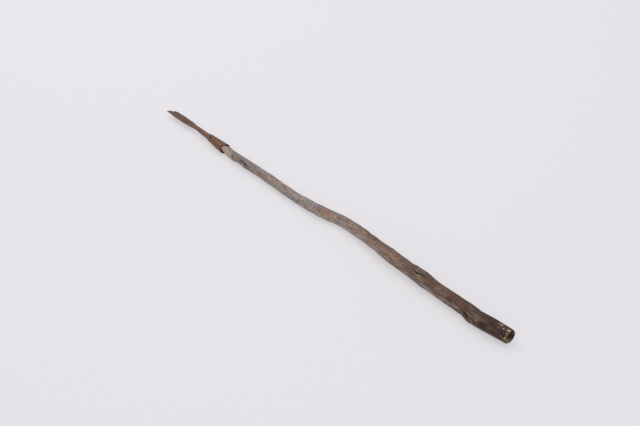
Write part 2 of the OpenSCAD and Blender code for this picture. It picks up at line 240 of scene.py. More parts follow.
# Patches of colour on the wood by tint: distance, direction, half length, half width, strength
PATCHES = {
    "reddish": (
        (268, 132, 6, 3, 0.9), (384, 120, 26, 7, 0.5), (434, 104, 24, 7, 0.9), (480, 104, 24, 7, 0.9),
        (500, 290, 50, 10, 0.5), (592, 126, 34, 9, 0.8), (606, 80, 26, 5, 0.5), (640, 108, 14, 6, 0.6),
        (655, 70, 40, 8, 0.5), (742, 104, 22, 4.5, 1), (748, 112, 16, 6, 0.9), (800, 10, 60, 11, 0.5),
        (812, 92, 22, 5, 0.7), (850, 78, 12, 5, 1), (970, 112, 20, 8, 0.9), (1000, 250, 60, 14, 0.5),
        (1013, 97, 16, 7, 0.9), (1040, 108, 22, 7, 0.7), (1078, 110, 20, 6, 0.8), (1087, 97, 7, 4, 1),
        (1090, 96, 16, 7, 0.8), (1120, 90, 24, 7, 0.5), (1163, 102, 8, 4, 1),
    ),
    "orange": (
        (599, 134, 8, 4, 0.5), (611, 130, 15, 7.5, 1.1), (628, 118, 9, 4, 0.5), (758, 124, 9, 2.5, 0.3),
    ),
    "amber": (
        (1112, 102, 9, 4, 0.5), (1135, 96, 12, 5, 0.5), (1170, 108, 8, 4, 0.6), (1176, 96, 8, 3, 0.8),
        (1184, 94, 8, 5, 1.2), (1190, 122, 4, 4, 0.7), (1191, 110, 6, 4.5, 1.8), (1194, 104, 5, 7, 1),
        (1194, 152, 4, 5, 0.9), (1196, 70, 3, 4, 0.9),
    ),
    "russet": (
        (745, 104, 12, 3.5, 0.6), (850, 78, 9, 4, 0.6), (970, 110, 14, 5, 0.5), (1014, 97, 12, 5, 0.5),
        (1042, 106, 14, 5, 0.5), (1060, 88, 14, 3, 0.5), (1087, 97, 4.5, 3, 0.9), (1128, 84, 12, 4, 0.5),
        (1148, 104, 16, 6, 0.4), (1149, 84, 8, 4, 0.8), (1160, 93, 7, 5, 1.7), (1165.5, 101, 6, 4.5, 1.7),
        (1166, 126, 12, 6, 0.6), (1176, 104, 5, 3, 0.6), (1186, 87, 4.5, 3, 0.9), (1186, 110, 4, 3, 1.2),
    ),
    "violet": (
        (250, 82, 12, 5, 0.25), (1146, 70, 20, 4, 0.5), (1160, 176, 16, 5, 0.5), (1175, 124, 6, 3.5, 0.8),
        (1184, 138, 10, 6.5, 1.5), (1184, 170, 9, 5, 1.1), (1189, 156, 8, 5, 1.3), (1196, 20, 5, 9, 0.6),
        (1196, 178, 4, 5, 0.7),
    ),
    "olive": (
        (312, 108, 12, 4, 0.7), (330, 80, 22, 7, 0.5), (364, 128, 14, 5, 0.7), (405, 60, 18, 6, 0.6),
        (430, 210, 50, 10, 0.5), (536, 98, 34, 10, 0.5), (598, 72, 22, 6, 0.7), (682, 92, 26, 7, 0.7),
        (940, 300, 50, 12, 0.4), (1097, 146, 13, 3.4, 0.8), (1108, 123, 15, 9, 0.9),
        (1124, 112, 16, 8, 0.5), (1128, 124, 20, 5, 0.6), (1140, 130, 12, 4, 0.5), (1142, 108, 18, 5, 0.6),
        (1152, 160, 12, 5, 0.6), (1164, 148, 10, 3, 0.6), (1170, 76, 9, 3, 0.8),
    ),
    "tan": (
        (264, 130, 12, 5, 0.6), (271, 164, 5, 3.5, 0.7), (345, 150, 26, 6, 0.35), (557, 178, 26, 6, 0.8),
        (640, 178, 22, 6, 0.5), (678, 97, 8, 3, 0.6), (692, 100, 12, 5, 0.5), (702, 104, 14, 3, 0.7),
        (730, 128, 22, 5, 0.5), (835, 128, 26, 6, 0.5), (863, 80, 10, 5, 0.5), (934, 140, 15, 5, 0.9),
        (941, 130, 10, 4, 0.4), (950, 126, 8, 3, 0.7), (992, 125, 12, 6, 0.8), (1087, 98, 12, 6, 0.5),
        (1106, 166, 6, 2, 0.5), (1122, 148, 12, 5, 0.7), (1136, 140, 14, 3, 0.5), (1156, 140, 12, 2.2, 0.6),
        (1186, 160, 5, 3, 0.6),
    ),
    # The bands at directions 176 to 196, from 530 to 1130 mm, are painted sheen along that side of the shaft;
    # the others are grey patches.
    "grey": (
        (262, 96, 16, 5, 0.4), (320, 88, 34, 5, 0.5), (530, 190, 60, 5, 0.5), (700, 186, 56, 8, 0.9),
        (790, 180, 56, 8, 0.9), (870, 180, 46, 8, 1), (950, 184, 46, 8, 1), (1014, 188, 34, 7, 0.8),
        (1044, 178, 26, 7, 0.9), (1062, 176, 12, 4, 0.5), (1130, 196, 40, 6, 0.6), (1147, 140, 5, 2, 0.6),
        (1158, 152, 4, 1.6, 0.5), (1173, 117, 2.6, 1.2, 0.9),
    ),
    "dark": (
        (269, 134, 5, 1.6, 0.9), (289, 135, 4, 2.2, 0.9), (290, 70, 22, 4, 0.4), (302, 84, 18, 5, 0.7),
        (304, 129, 7, 2.6, 0.9), (306, 132, 12, 5, 0.7), (312, 160, 17, 4, 0.8), (321, 134, 8, 2.4, 1),
        (340, 178, 12, 3, 0.6), (372, 152, 10, 3, 0.5), (398, 144, 12, 2.4, 0.5), (420, 84, 12, 3, 0.6),
        (458, 92, 10, 3, 0.7), (470, 168, 26, 4, 0.5), (500, 84, 12, 3, 0.6), (578, 66, 10, 3, 0.8),
        (585, 80, 12, 3.5, 0.7), (613, 76, 12, 3.5, 0.5), (622, 79, 12, 3, 0.8), (632, 68, 16, 4, 1),
        (640, 60, 40, 5, 0.5), (643, 74, 12, 4, 0.8), (645, 112, 12, 5, 0.35), (690, 140, 14, 2.4, 0.25),
        (735, 74, 60, 5, 0.7), (780, 138, 14, 2.4, 0.5), (800, 82, 30, 4, 0.6), (814, 93, 10, 5, 0.3),
        (819, 60, 8, 5, 0.9), (845, 150, 16, 3, 0.5), (880, 96, 26, 4, 0.7), (903, 80, 10, 6, 0.6),
        (905, 60, 30, 6, 0.7), (930, 98, 30, 3, 0.6), (960, 66, 26, 5, 0.5), (1066, 156, 12, 3, 0.8),
        (1122, 102, 8, 4, 0.8), (1140, 170, 22, 8, 0.7), (1141, 84, 14, 7, 0.6), (1145, 138, 8, 5, 0.3),
        (1148, 92, 14, 6, 0.4), (1150, 112, 16, 9, 0.5), (1150, 190, 40, 14, 0.5), (1157, 176, 14, 5, 0.6),
        (1164, 152, 9, 6, 0.7), (1168, 160, 14, 6, 0.7), (1184, 139, 11, 7.5, 0.8), (1184, 170, 9, 5, 0.8),
        (1190, 84, 4, 2, 0.8), (1191, 112, 5, 5, 0.9), (1193, 52, 4, 4, 0.9),
    ),
    "mark": (
        (284, 131, 2, 1.6, 0.6), (289, 121, 3, 1.6, 0.6), (296, 140, 3, 1.4, 0.6), (302, 133, 4, 2.2, 0.7),
        (303, 128, 4.6, 1.6, 0.7), (310, 128, 4, 1.8, 0.7), (318.5, 143, 6, 2.2, 0.8),
        (321, 134, 6, 1.6, 0.8), (350, 150, 5, 1, 0.5), (372, 154, 4, 1.2, 0.5), (394, 146, 5, 1.1, 0.5),
        (455, 92, 7, 1.2, 0.5), (496, 86, 6, 1.2, 0.5), (572.6, 124.4, 3.4, 2.4, 1),
        (580.4, 128, 4.6, 2, 1), (580.6, 103, 3.6, 3, 1), (585, 119, 3.6, 3, 1), (588.4, 110, 3, 1.8, 0.9),
        (838, 150, 7, 1.3, 0.5), (1126, 104, 6, 3, 0.6), (1138, 152, 7, 2.4, 0.6), (1150, 118, 6, 3, 0.5),
        (1154, 166, 8, 2, 0.6), (1160, 128, 5, 2, 0.5), (1162.5, 76, 7, 1.7, 1.1),
        (1170, 103, 3.5, 1.3, 0.7), (1178, 93, 3, 1.1, 0.8), (1187, 109, 3, 1.5, 0.8),
        (1189, 89, 3, 1.4, 0.9), (1190, 192, 4, 3, 0.7), (1192, 173, 2.4, 2, 0.8),
        (1193.4, 61, 3.2, 2.2, 1.1), (1193.5, 146, 2.4, 4, 0.8), (1193.6, 107, 2.6, 1.8, 0.9),
    ),
}


# Noise fields


# Large numbers that scatter the cells
SCATTER = (73856093, 19349663, 83492791, 2654435761, 2246822519, 3266489917)


def hashed(cell, seed):
    """Repeatable value from 0 to 1 for each whole-number cell."""
    mixed = (cell[..., 0] * SCATTER[0]) ^ (cell[..., 1] * SCATTER[1]) ^ (cell[..., 2] * SCATTER[2])
    mixed = (mixed ^ (seed * SCATTER[3])) & 0xFFFFFFFF
    mixed = ((mixed ^ (mixed >> 15)) * SCATTER[4]) & 0xFFFFFFFF
    mixed = ((mixed ^ (mixed >> 13)) * SCATTER[5]) & 0xFFFFFFFF
    return ((mixed ^ (mixed >> 16)) & 0xFFFFFF) / 0xFFFFFF


def soft_noise(points, seed):
    """Smooth noise from -1 to 1 at each point."""
    low = np.floor(points).astype(np.int64)
    part = points - low
    part = part * part * (3 - 2 * part)
    total = 0.0
    for corner in np.ndindex(2, 2, 2):
        pick = np.array(corner)
        weight = np.prod(np.where(pick, part, 1 - part), axis=-1)
        total = total + weight * hashed(low + pick, seed)
    return total * 2 - 1


def layered(points, seed, octaves=4):
    """Sum of finer and finer noise."""
    total, size = 0.0, 1.0
    for octave in range(octaves):
        total = total + size * soft_noise(points * 2**octave, seed + octave)
        size /= 2
    return total / 1.6


def nearest_cell(points, seed):
    """Distance to the nearest of the scattered points."""
    low = np.floor(points).astype(np.int64)
    nearest = np.full(points.shape[:-1], 9.0)
    for offset in np.ndindex(3, 3, 3):
        cell = low + np.array(offset) - 1
        place = cell + np.stack([hashed(cell, seed + k) for k in range(3)], -1)
        away = np.linalg.norm(points - place, axis=-1)
        nearest = np.minimum(nearest, away)
    return nearest


def ease(low, high, value):
    """0 below low, 1 above high and smooth between; falls when high is below low."""
    part = np.clip((value - low) / (high - low), 0, 1)
    return part * part * (3 - 2 * part)


def bell(value, middle, half):
    """Hump that is 1 at its middle and falls off smoothly on both sides."""
    return np.exp(-(((value - middle) / half) ** 2))


def round_turn(degrees):
    """Angle brought into the half turn on either side of zero."""
    return (degrees + 180) % 360 - 180


def soft_limit(value, low, high, soft=0.5):
    """Keeps values between two limits and rounds the last bit off."""
    top = high - soft
    over = value - top
    value = np.where(over > 0, top + soft * (1 - np.exp(-np.maximum(over, 0) / soft)), value)
    return np.maximum(value, low)


# Meshes


def smooth_rows(rows, steps):
    """Smooth curve through a list of rows."""
    rows = np.array(rows, float)
    last = len(rows) - 1
    made = []
    for i in range(last):
        a, b, c, d = rows[max(i - 1, 0)], rows[i], rows[i + 1], rows[min(i + 2, last)]
        for k in range(steps):
            t = k / steps
            made.append(0.5 * (2 * b + (c - a) * t + (2 * a - 5 * b + 4 * c - d) * t * t
                               + (3 * b - a - 3 * c + d) * t**3))
    made.append(rows[-1])
    return np.array(made)


def outward(grid):
    """Outward direction at each point of a closed tube grid."""
    along = np.gradient(grid, axis=0)
    round_ = np.roll(grid, -1, 1) - np.roll(grid, 1, 1)
    normal = np.cross(round_, along)
    return normal / np.maximum(np.linalg.norm(normal, axis=-1, keepdims=True), 1e-9)


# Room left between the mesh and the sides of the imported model's box
BOX_MARGIN = 0.02


def tube_faces(rows, columns):
    """Quads round a tube grid, and triangles to the two points that close it."""
    index = np.arange(rows * columns).reshape(rows, columns)
    right = np.roll(index, -1, 1)
    quads = np.stack([index[:-1], right[:-1], right[1:], index[1:]], -1).reshape(-1, 4)
    first = np.stack([np.full(columns, rows * columns), right[0], index[0]], -1)
    last = np.stack([np.full(columns, rows * columns + 1), index[-1], right[-1]], -1)
    return quads.tolist() + first.tolist() + last.tolist()


def with_ends(values):
    """Values of a grid in one list, with the means of its first and last rows behind them."""
    flat = values.reshape(-1, *values.shape[2:])
    return np.concatenate([flat, [values[0].mean(0), values[-1].mean(0)]])


def mesh_object(name, points, faces, coords, masks=None):
    """Smooth object from points in millimetres, with its masks and grain coordinates."""
    if not np.isfinite(points).all():
        raise RuntimeError(f"{name} has a point that isn't a number")
    mesh = bpy.data.meshes.new(name)
    mesh.from_pydata((points * MM).tolist(), [], faces)
    for label, values in (masks or {}).items():
        layer = mesh.attributes.new(label, "FLOAT", "POINT")
        layer.data.foreach_set("value", values.astype(np.float32))
    layer = mesh.attributes.new("grain", "FLOAT_VECTOR", "POINT")
    layer.data.foreach_set("vector", (coords * MM).astype(np.float32).ravel())
    mesh.shade_smooth()
    piece = bpy.data.objects.new(name, mesh)
    bpy.context.scene.collection.objects.link(piece)
    return piece


def tube_object(name, grid, masks, coords):
    """Closed object over a tube grid."""
    points = with_ends(in_model_frame(grid))
    masks = {label: with_ends(values) for label, values in masks.items()}
    return mesh_object(name, points, tube_faces(*grid.shape[:2]), with_ends(coords), masks)


def in_model_frame(points):
    """From the drawing's place, with the point at zero, to the model's frame; limits to its box."""
    low, high = np.array(CAD_BOX) / MM
    moved = points - np.array([OVERALL_L / 2, middle_side(), 0])
    for axis in range(3):
        moved[..., axis] = soft_limit(moved[..., axis], low[axis] + BOX_MARGIN, high[axis] - BOX_MARGIN)
        moved[..., axis] = -soft_limit(-moved[..., axis], -high[axis], -low[axis] - BOX_MARGIN)
    return moved


def continued(masks, starts, ends, before, after):
    """Masks of a surface, continued over the rows before it and after it."""
    whole = {}
    for label, values in masks.items():
        start = np.broadcast_to(starts.get(label, 0.0), before)
        end = np.broadcast_to(ends.get(label, 0.0), after)
        whole[label] = np.concatenate([start, values, end])
    return whole


def raise_mask(masks, label, values):
    """Raises a mask where the new values are higher."""
    masks[label] = np.maximum(masks[label], values)


def spot(x, turn, radius, place, aim, half_l, half_w, lean=0.0):
    """Distance from the middle of a spot on a round surface, 1 at its edge."""
    run = x - place
    arc = radius * np.radians(round_turn(turn - aim))
    c, s = np.cos(np.radians(lean)), np.sin(np.radians(lean))
    return np.hypot((run * c + arc * s) / half_l, (arc * c - run * s) / half_w)


# The branch

# Where the bark starts, and where the branch would end if it weren't sawn
SHOULDER_X = HEAD_L + SHOULDER_GAP
BARK_END = OVERALL_L + 12
# Length and flats of the whittled end
PEG_L = HOLLOW_DEPTH - TIP_GAP
PEG_FLATS = 11
# Directions of the outline, and smooth stations of the branch
CORNERS = np.arange(BARK_CORNERS) * 360 / BARK_CORNERS
BRANCH_LINE = smooth_rows(BRANCH, 60)
# Directions of the mesh's columns, and the usual step between its rows
COLUMNS = 136
TURNS = np.arange(COLUMNS) * 360 / COLUMNS
ROW_STEP = 2.0
# Distance of the last row of bark from the end
LAST_ROW = 0.5
# Where the rows of the shaft's mesh lie closer: from, to, share of the usual step
FINE_ROWS = ((236, 270, 0.5), (562, 592, 0.4), (899, 960, 0.28), (1062, 1103, 0.5), (1156, 1200, 0.34))
# Turn of the grain round the branch, in degrees for each millimetre
GRAIN_TWIST = 0.03
# The saw cut: slope, how much thinner the branch is there, how far back the cut's middle lies,
# and the length over which the bark is sheared on to it
SAW_SLOPE = np.tan(np.radians(SAW_ANGLE))
BUTT_WASTE = 2.6
SAW_BACK = (BUTT_D - BUTT_WASTE) / 2 * np.sin(np.radians(SAW_ANGLE)) * np.sqrt(2)
SAW_REACH = 60
# Cover of the bark that is left: distances, and how readily it stays there
BARK_LEFT = ((240, 420, 700, 900, 1060, 1130), (-0.36, -0.3, -0.22, -0.08, 0.06, 0.34))
# Rings of the end face, as shares of its rim
FACE_STEPS = (0.985, 0.95, 0.91, 0.87, 0.82, 0.77, 0.72, 0.67, 0.62, 0.56, 0.5, 0.44, 0.38, 0.32, 0.25,
              0.18, 0.1)
# Beyond any radius, where no flat has been cut yet
FAR = 99.0


def taper_d(share):
    """Diameter of the branch from its straight taper alone."""
    return np.interp(share, [0, 0.5, 1], [FORE_D, MID_D, BUTT_D])


def bark_r(share, swell, turn):
    """Radius of the branch in a direction, with its ovalness and its knots."""
    grown = np.minimum(1, share / 0.08)
    twist = 260 * share
    oval = 0.022 * np.cos(np.radians(2 * turn - twist)) + 0.014 * np.cos(np.radians(3 * turn + 2 * twist))
    radius = (taper_d(share) + swell) / 2 * (1 + grown * oval)
    for place, aim, height, half_l, spread in KNOTS:
        run = (share - place) * (OVERALL_L - HEAD_L)
        radius = radius + height * bell(run, 0, half_l) * bell(round_turn(turn - aim), 0, spread)
    return radius


def branch_section(share):
    """Side, swell and height of the middle of the branch at shares of its length."""
    side, swell, under = (np.interp(share, BRANCH_LINE[:, 0], BRANCH_LINE[:, k]) for k in (1, 2, 3))
    rim = bark_r(np.asarray(share)[..., None], np.asarray(swell)[..., None], CORNERS)
    return MOUTH_SIDE + side, swell, under + (-rim * np.sin(np.radians(CORNERS))).max(-1)


def middle_side():
    """Side of the middle of the object's width, which lies over the model's origin."""
    rows = smooth_rows(BRANCH, 4)
    reach = bark_r(rows[:, :1], rows[:, 2:3], CORNERS) * np.cos(np.radians(CORNERS))
    sides = MOUTH_SIDE + rows[:, 1:2] + reach
    return (sides.max() + sides.min()) / 2


def crack_depth(x, turn, radius, bends):
    """How far inside a bent crack each point is: 1 on its middle line, 0 outside."""
    inside, usual_r = np.zeros_like(x), 18
    for (x0, t0, w0), (x1, t1, w1) in zip(bends[:-1], bends[1:]):
        run, rise = x1 - x0, usual_r * np.radians(t1 - t0)
        px, py = x - x0, radius * np.radians(round_turn(turn - t0))
        share = np.clip((px * run + py * rise) / (run * run + rise * rise), 0, 1)
        away = np.hypot(px - run * share, py - rise * share)
        inside = np.maximum(inside, 1 - away / (w0 + (w1 - w0) * share))
    return np.clip(inside, 0, 1)


def off_rim(turn):
    """How far the wood lies further in on the two sides where the socket gapes."""
    return 0.9 * bell(round_turn(turn - 52), 0, 34) + 0.9 * bell(round_turn(turn - 193), 0, 26)


def swirl(x, turn, grain):
    """Grey-brown rings on the whittled wood just behind the mouth."""
    ring = spot(x, turn, 11.0, 235, 96, 9.5, 7.5)
    return (0.6 + 0.4 * np.sin(9 * ring + 3 * layered(grain / 3, 93, 3))) * ease(1.4, 0.7, ring)


def straightened(x, turn, radius):
    """Grain coordinates on the branch made straight, so that the grain follows every bend."""
    spin = np.radians(turn)
    return np.stack(np.broadcast_arrays(x, radius * np.cos(spin), radius * np.sin(spin)), -1)


def wood_noise(grain, along, across, seed, octaves=4):
    """Layered noise drawn out along the grain."""
    return layered(grain / [along, across, across], seed, octaves)


def row_places():
    """Distances of the bark's rows, closer together where there is fine work."""
    places = [SHOULDER_X]
    while places[-1] < OVERALL_L - LAST_ROW - 0.4:
        share = min([1, *(part for low, high, part in FINE_ROWS if low < places[-1] < high)])
        places.append(places[-1] + ROW_STEP * share)
    return np.array([*places, OVERALL_L - LAST_ROW])


def plain_bark():
    """Bark from the shoulder to the butt before any work on it."""
    row = row_places()
    share = (row - SHOULDER_X) / (BARK_END - SHOULDER_X)
    side, swell, middle = branch_section(share)
    x, turn = np.broadcast_arrays(row[:, None], TURNS)
    radius = bark_r(share[:, None], swell[:, None], turn)
    grain = straightened(x, turn + GRAIN_TWIST * (x - HEAD_L), radius)
    plain_r = (taper_d(share) + swell)[:, None] / 2
    near_end = ease(OVERALL_L - SAW_REACH, OVERALL_L, x)
    slant = SAW_SLOPE * plain_r * (np.cos(np.radians(turn)) - np.sin(np.radians(turn)))
    placed = x + near_end * (slant - SAW_BACK + 0.4)
    return SimpleNamespace(
        x=x, turn=turn, radius=radius, grain=grain, plain_r=plain_r, near_end=near_end, placed=placed,
        side=side[:, None], middle=middle[:, None], blur=wood_noise(grain, 11, 4.5, 61),
        masks={label: np.zeros(x.shape) for label in (*PATCHES, "crack", "face")},
    )


def roughen(bark, shape):
    """Lumps, raised fibres, ripples and dents, and the thin flakes of bark that are left."""
    x, grain = bark.x, bark.grain
    lumps = wood_noise(grain, 52, 10, 11) * 0.34
    for place, aim, height, half_l, spread in LUMPS:
        lumps = lumps + height * bell(x, place, half_l) * bell(round_turn(bark.turn - aim), 0, spread)
    worn = ease(-0.25, 0.45, wood_noise(grain, 70, 14, 31, 3))
    fibres = 0.35 - np.abs(wood_noise(grain, 34, 1.7, 23, 3))
    fibres = fibres * shape.grain_relief / MM * (0.45 + 0.75 * worn)
    ripple = wood_noise(grain, 9, 4, 41, 3) * 0.13
    away = nearest_cell(grain / [8, 3.6, 3.6], 51)
    dents = -0.3 * ease(0.42, 0.1, away) * ease(0.0, 0.5, soft_noise(grain / [24, 9, 9], 57))
    flakes = wood_noise(grain, 23, 5.2, 65, 5) + 0.35 * wood_noise(grain, 60, 9, 69, 2)
    flakes = ease(-0.035, 0.035, flakes + np.interp(x, *BARK_LEFT))
    skin = shape.bark_depth / MM * flakes * (0.8 + 0.5 * wood_noise(grain, 5, 2.2, 67, 3))
    bark.radius = bark.radius + lumps + fibres * (1 - 0.5 * flakes) + ripple + dents + skin - 0.1
    bark.masks["bark"] = flakes


def paint_patches(bark):
    """Masks of the coloured patches; little bark is left over the ones that are bare wood."""
    masks = bark.masks
    for tint, rows in PATCHES.items():
        fray, soft = (0.25, 1.05) if tint == "mark" else (0.55, 1.35)
        for place, aim, half_l, half_w, strength in rows:
            reach = spot(bark.placed, bark.turn, bark.radius, place, aim, half_l, half_w, lean=4)
            raise_mask(masks, tint, strength * ease(soft, 0.45, reach + fray * bark.blur))
    bare = [masks[tint] for tint in ("orange", "amber", "russet", "violet")]
    bare += [0.8 * masks[tint] for tint in ("olive", "reddish")]
    masks["bark"] = masks["bark"] * (1 - 0.8 * np.minimum(1, np.maximum.reduce(bare)))


def cut_scars(bark):
    """Scars of side twigs: a low rim, rings inside it and a dark hole."""
    for place, aim, half_l, half_w, rise, hole in SCARS:
        reach = spot(bark.x, bark.turn, bark.radius, place, aim, half_l, half_w, lean=6)
        reach = reach + 0.12 * bark.blur
        rings = 0.12 * np.cos(reach * 26) * ease(1.0, 0.7, reach)
        groove = bell(reach, 0.78, 0.16) * ease(-0.5, 0.25, soft_noise(bark.grain / [4, 2.5, 2.5], 63))
        bark.radius = bark.radius + rise * bell(reach, 1.05, 0.3) + rings
        bark.radius = bark.radius - hole * ease(0.62, 0.18, reach) - 0.5 * groove
        # The scar's hole is painted with the crack colour: painted shade.
        raise_mask(bark.masks, "crack", ease(0.6, 0.3, reach) * min(1, hole / 1.5) ** 2)
        raise_mask(bark.masks, "dark", groove * 0.9)


def open_cracks(bark, shape):
    """The big knot's crack between its swollen lips, and the drying checks."""
    lips = crack_depth(bark.x, bark.turn, bark.radius, [(x, turn, 4 * half) for x, turn, half in KNOT_CRACK])
    bark.radius = bark.radius + 0.5 * ease(0.0, 0.8, lips)
    inside = crack_depth(bark.x, bark.turn + 1.6 * bark.blur, bark.radius, KNOT_CRACK)
    bark.radius = bark.radius - shape.crack_depth / MM * ease(0.0, 0.75, inside)
    # The crack mask paints shade in the knot's crack and, below, in each check.
    raise_mask(bark.masks, "crack", ease(0.02, 0.4, inside) * (0.45 + 0.55 * ease(956, 934, bark.x)))
    closed, butt_x = 0.15, 1190
    for x0, x1, t0, t1, half_w, depth in CHECKS:
        last = (x1, t1, closed if x1 < butt_x else half_w)
        bends = [(x0, t0, closed), ((x0 + x1) / 2, (t0 + t1) / 2, half_w), last]
        inside = crack_depth(bark.x, bark.turn + 1.5 * bark.blur, bark.radius, bends)
        bark.radius = bark.radius - depth * ease(0.0, 0.8, inside)
        raise_mask(bark.masks, "crack", ease(0.05, 0.5, inside))


def paint_top_shade_and_tone(bark):
    """Painted shade that makes the branch darker on top and lighter on its sides and underside, and a darker
    tone in a few stretches.
    """
    x = bark.x
    # Painted shade: darker where the surface faces up, lighter where it faces sideways and down.
    top = np.maximum(np.cos(np.radians(bark.turn - 82)) - 0.45, -0.85)
    top_shade_and_tone = 1 - (0.26 * ease(480, 760, x) + 0.06) * top
    top_shade_and_tone = top_shade_and_tone - 0.09 * bell(x, 370, 60) - 0.07 * bell(x, 600, 34)
    bark.masks["top_shade_and_tone"] = top_shade_and_tone - 0.10 * ease(1120, 1165, bark.placed)


def pare_flats(bark):
    """Flats of the knife at the head end, and the eased edge of the shoulder."""
    back = bark.x - SHOULDER_X
    cut = np.full_like(bark.radius, FAR)
    widest = 60
    for aim, depth, run_out in PARED:
        off = round_turn(bark.turn - aim)
        left = 1 - 0.75 * np.clip(back / run_out, 0, 1.4) ** 2.2
        flat = (bark.plain_r - depth * left) / np.cos(np.radians(np.clip(off, -widest, widest)))
        flat = flat + 0.09 * wood_noise(bark.grain, 14, 1.2, 71, 2) + 0.05 * np.sin(bark.x * 1.9 + aim)
        reached = (np.abs(off) < widest) & (back < run_out + 2.2 * bark.blur)
        cut = np.where(reached, np.minimum(cut, flat), cut)
    pale = ease(-0.12, 0.1, bark.radius - cut) * ease(52, 36, back)
    bark.radius = np.minimum(bark.radius, cut)
    bark.radius = bark.radius - 0.5 * ease(0.8, 0.0, back) - 0.35 * off_rim(bark.turn) * ease(9, 0, back)
    for label in (*PATCHES, "crack", "bark"):
        bark.masks[label] = bark.masks[label] * (1 - pale)
    bark.masks["pale"] = pale
    bark.masks["swirl"] = swirl(bark.x, bark.turn, bark.grain)


def tear_butt(bark, shape):
    """Torn wood at the butt, where the outer layer has broken away, and the worn rim."""
    tear, bite = np.zeros_like(bark.radius), np.zeros_like(bark.radius)
    ragged = 0.15 * bark.blur + 0.5 * wood_noise(bark.grain, 2.4, 1.3, 85, 3)
    for place, aim, half_l, half_w, depth in TEARS:
        reach = spot(bark.placed, bark.turn, bark.radius, place, aim, half_l, half_w) + ragged
        tear = np.maximum(tear, ease(1.08, 0.96, reach))
        bite = np.maximum(bite, ease(1.08, 0.96, reach) * depth)
    lift = 0.7 + 0.7 * soft_noise(bark.grain / [8, 3, 3], 83)
    shreds = np.abs(wood_noise(bark.grain, 10, 1.0, 81, 3))
    bark.radius = bark.radius - bite * shape.torn_depth / MM * lift - tear * 0.32 * shreds
    ragged = 1 + 0.9 * soft_noise(bark.grain / 3, 87)
    bark.radius = bark.radius - 0.35 * np.exp(-(OVERALL_L - bark.x) / 1.2) * ragged
    bark.masks["torn"] = tear
    bark.masks["chip"] = ease(0.7, 0.95, bite)
    bark.masks["bark"] = bark.masks["bark"] * (1 - tear)


def stand_bark(bark):
    """Points of the bark on the crooked branch, its last stretch sheared on to the saw cut."""
    spin = np.radians(bark.turn)
    side, up = bark.radius * np.cos(spin), bark.radius * np.sin(spin)
    cut = OVERALL_L - SAW_BACK + SAW_SLOPE * (side[-1] - up[-1])
    shear = (cut - bark.x[-1] - 0.1) * bark.near_end
    return np.stack([bark.x + shear, bark.side + side, bark.middle + up], -1)


def whittled_end():
    """Points, grain coordinates and swirls of the whittled end, from its tip to the shoulder."""
    slope = (MOUTH_D / 2 - WALL - HOLLOW_END_D / 2) / HOLLOW_DEPTH
    tip_r = HOLLOW_END_D / 2 + slope * TIP_GAP - SEAT_GAP
    mouth_r = MOUTH_D / 2 - WALL - MOUTH_GAP - 0.5
    run = np.append(np.arange(PEG_L, 0.7, -1.6), [0.4, -0.3, -0.9])[:, None]
    cone = np.interp(run, [-SHOULDER_GAP, 0, PEG_L], [mouth_r, mouth_r, tip_r])
    # The wood leans against the seam side of the mouth
    cone = cone + 0.75 * bell(round_turn(TURNS - 132), 0, 42) * ease(30, 4, run)
    cone = cone - off_rim(TURNS) * ease(34, 6, run)
    flats = np.full_like(cone, FAR)
    for k in range(PEG_FLATS):
        aim = k * 360 / PEG_FLATS + 9 * np.sin(k * 5.1)
        bite = 0.18 + 0.16 * np.sin(k * 2.3) + 0.0022 * run * np.sin(k * 3.7)
        off = np.clip(round_turn(TURNS - aim), -50, 50)
        flats = np.minimum(flats, (cone - bite) / np.cos(np.radians(off)))
    cone = np.minimum(cone, flats)
    grain = straightened(HEAD_L - run, TURNS, cone)
    cone = cone - 0.06 - 0.05 * np.abs(wood_noise(grain, 16, 1.1, 91, 3))
    spin, axis = np.radians(TURNS), np.radians(SOCKET_ANGLE)
    out, up = cone * np.cos(spin), cone * np.sin(spin)
    peg = np.stack([HEAD_L - run * np.cos(axis) + out * np.sin(axis),
                    MOUTH_SIDE + run * np.sin(axis) + out * np.cos(axis), AXIS_Z + up], -1)
    middle = [HEAD_L - (PEG_L - 0.2) * np.cos(axis), MOUTH_SIDE + PEG_L * np.sin(axis), AXIS_Z]
    tip = np.stack([middle + (peg[0] - middle) * share for share in (0.25, 0.6, 0.88)])
    tip[-1, :, 0] -= 0.2
    swirls = swirl(grain[..., 0], TURNS + 0 * run, grain)
    return (np.concatenate([tip, peg]), np.concatenate([grain[:3] * 0.8, grain]),
            np.concatenate([np.zeros_like(swirls[:3]), swirls]))


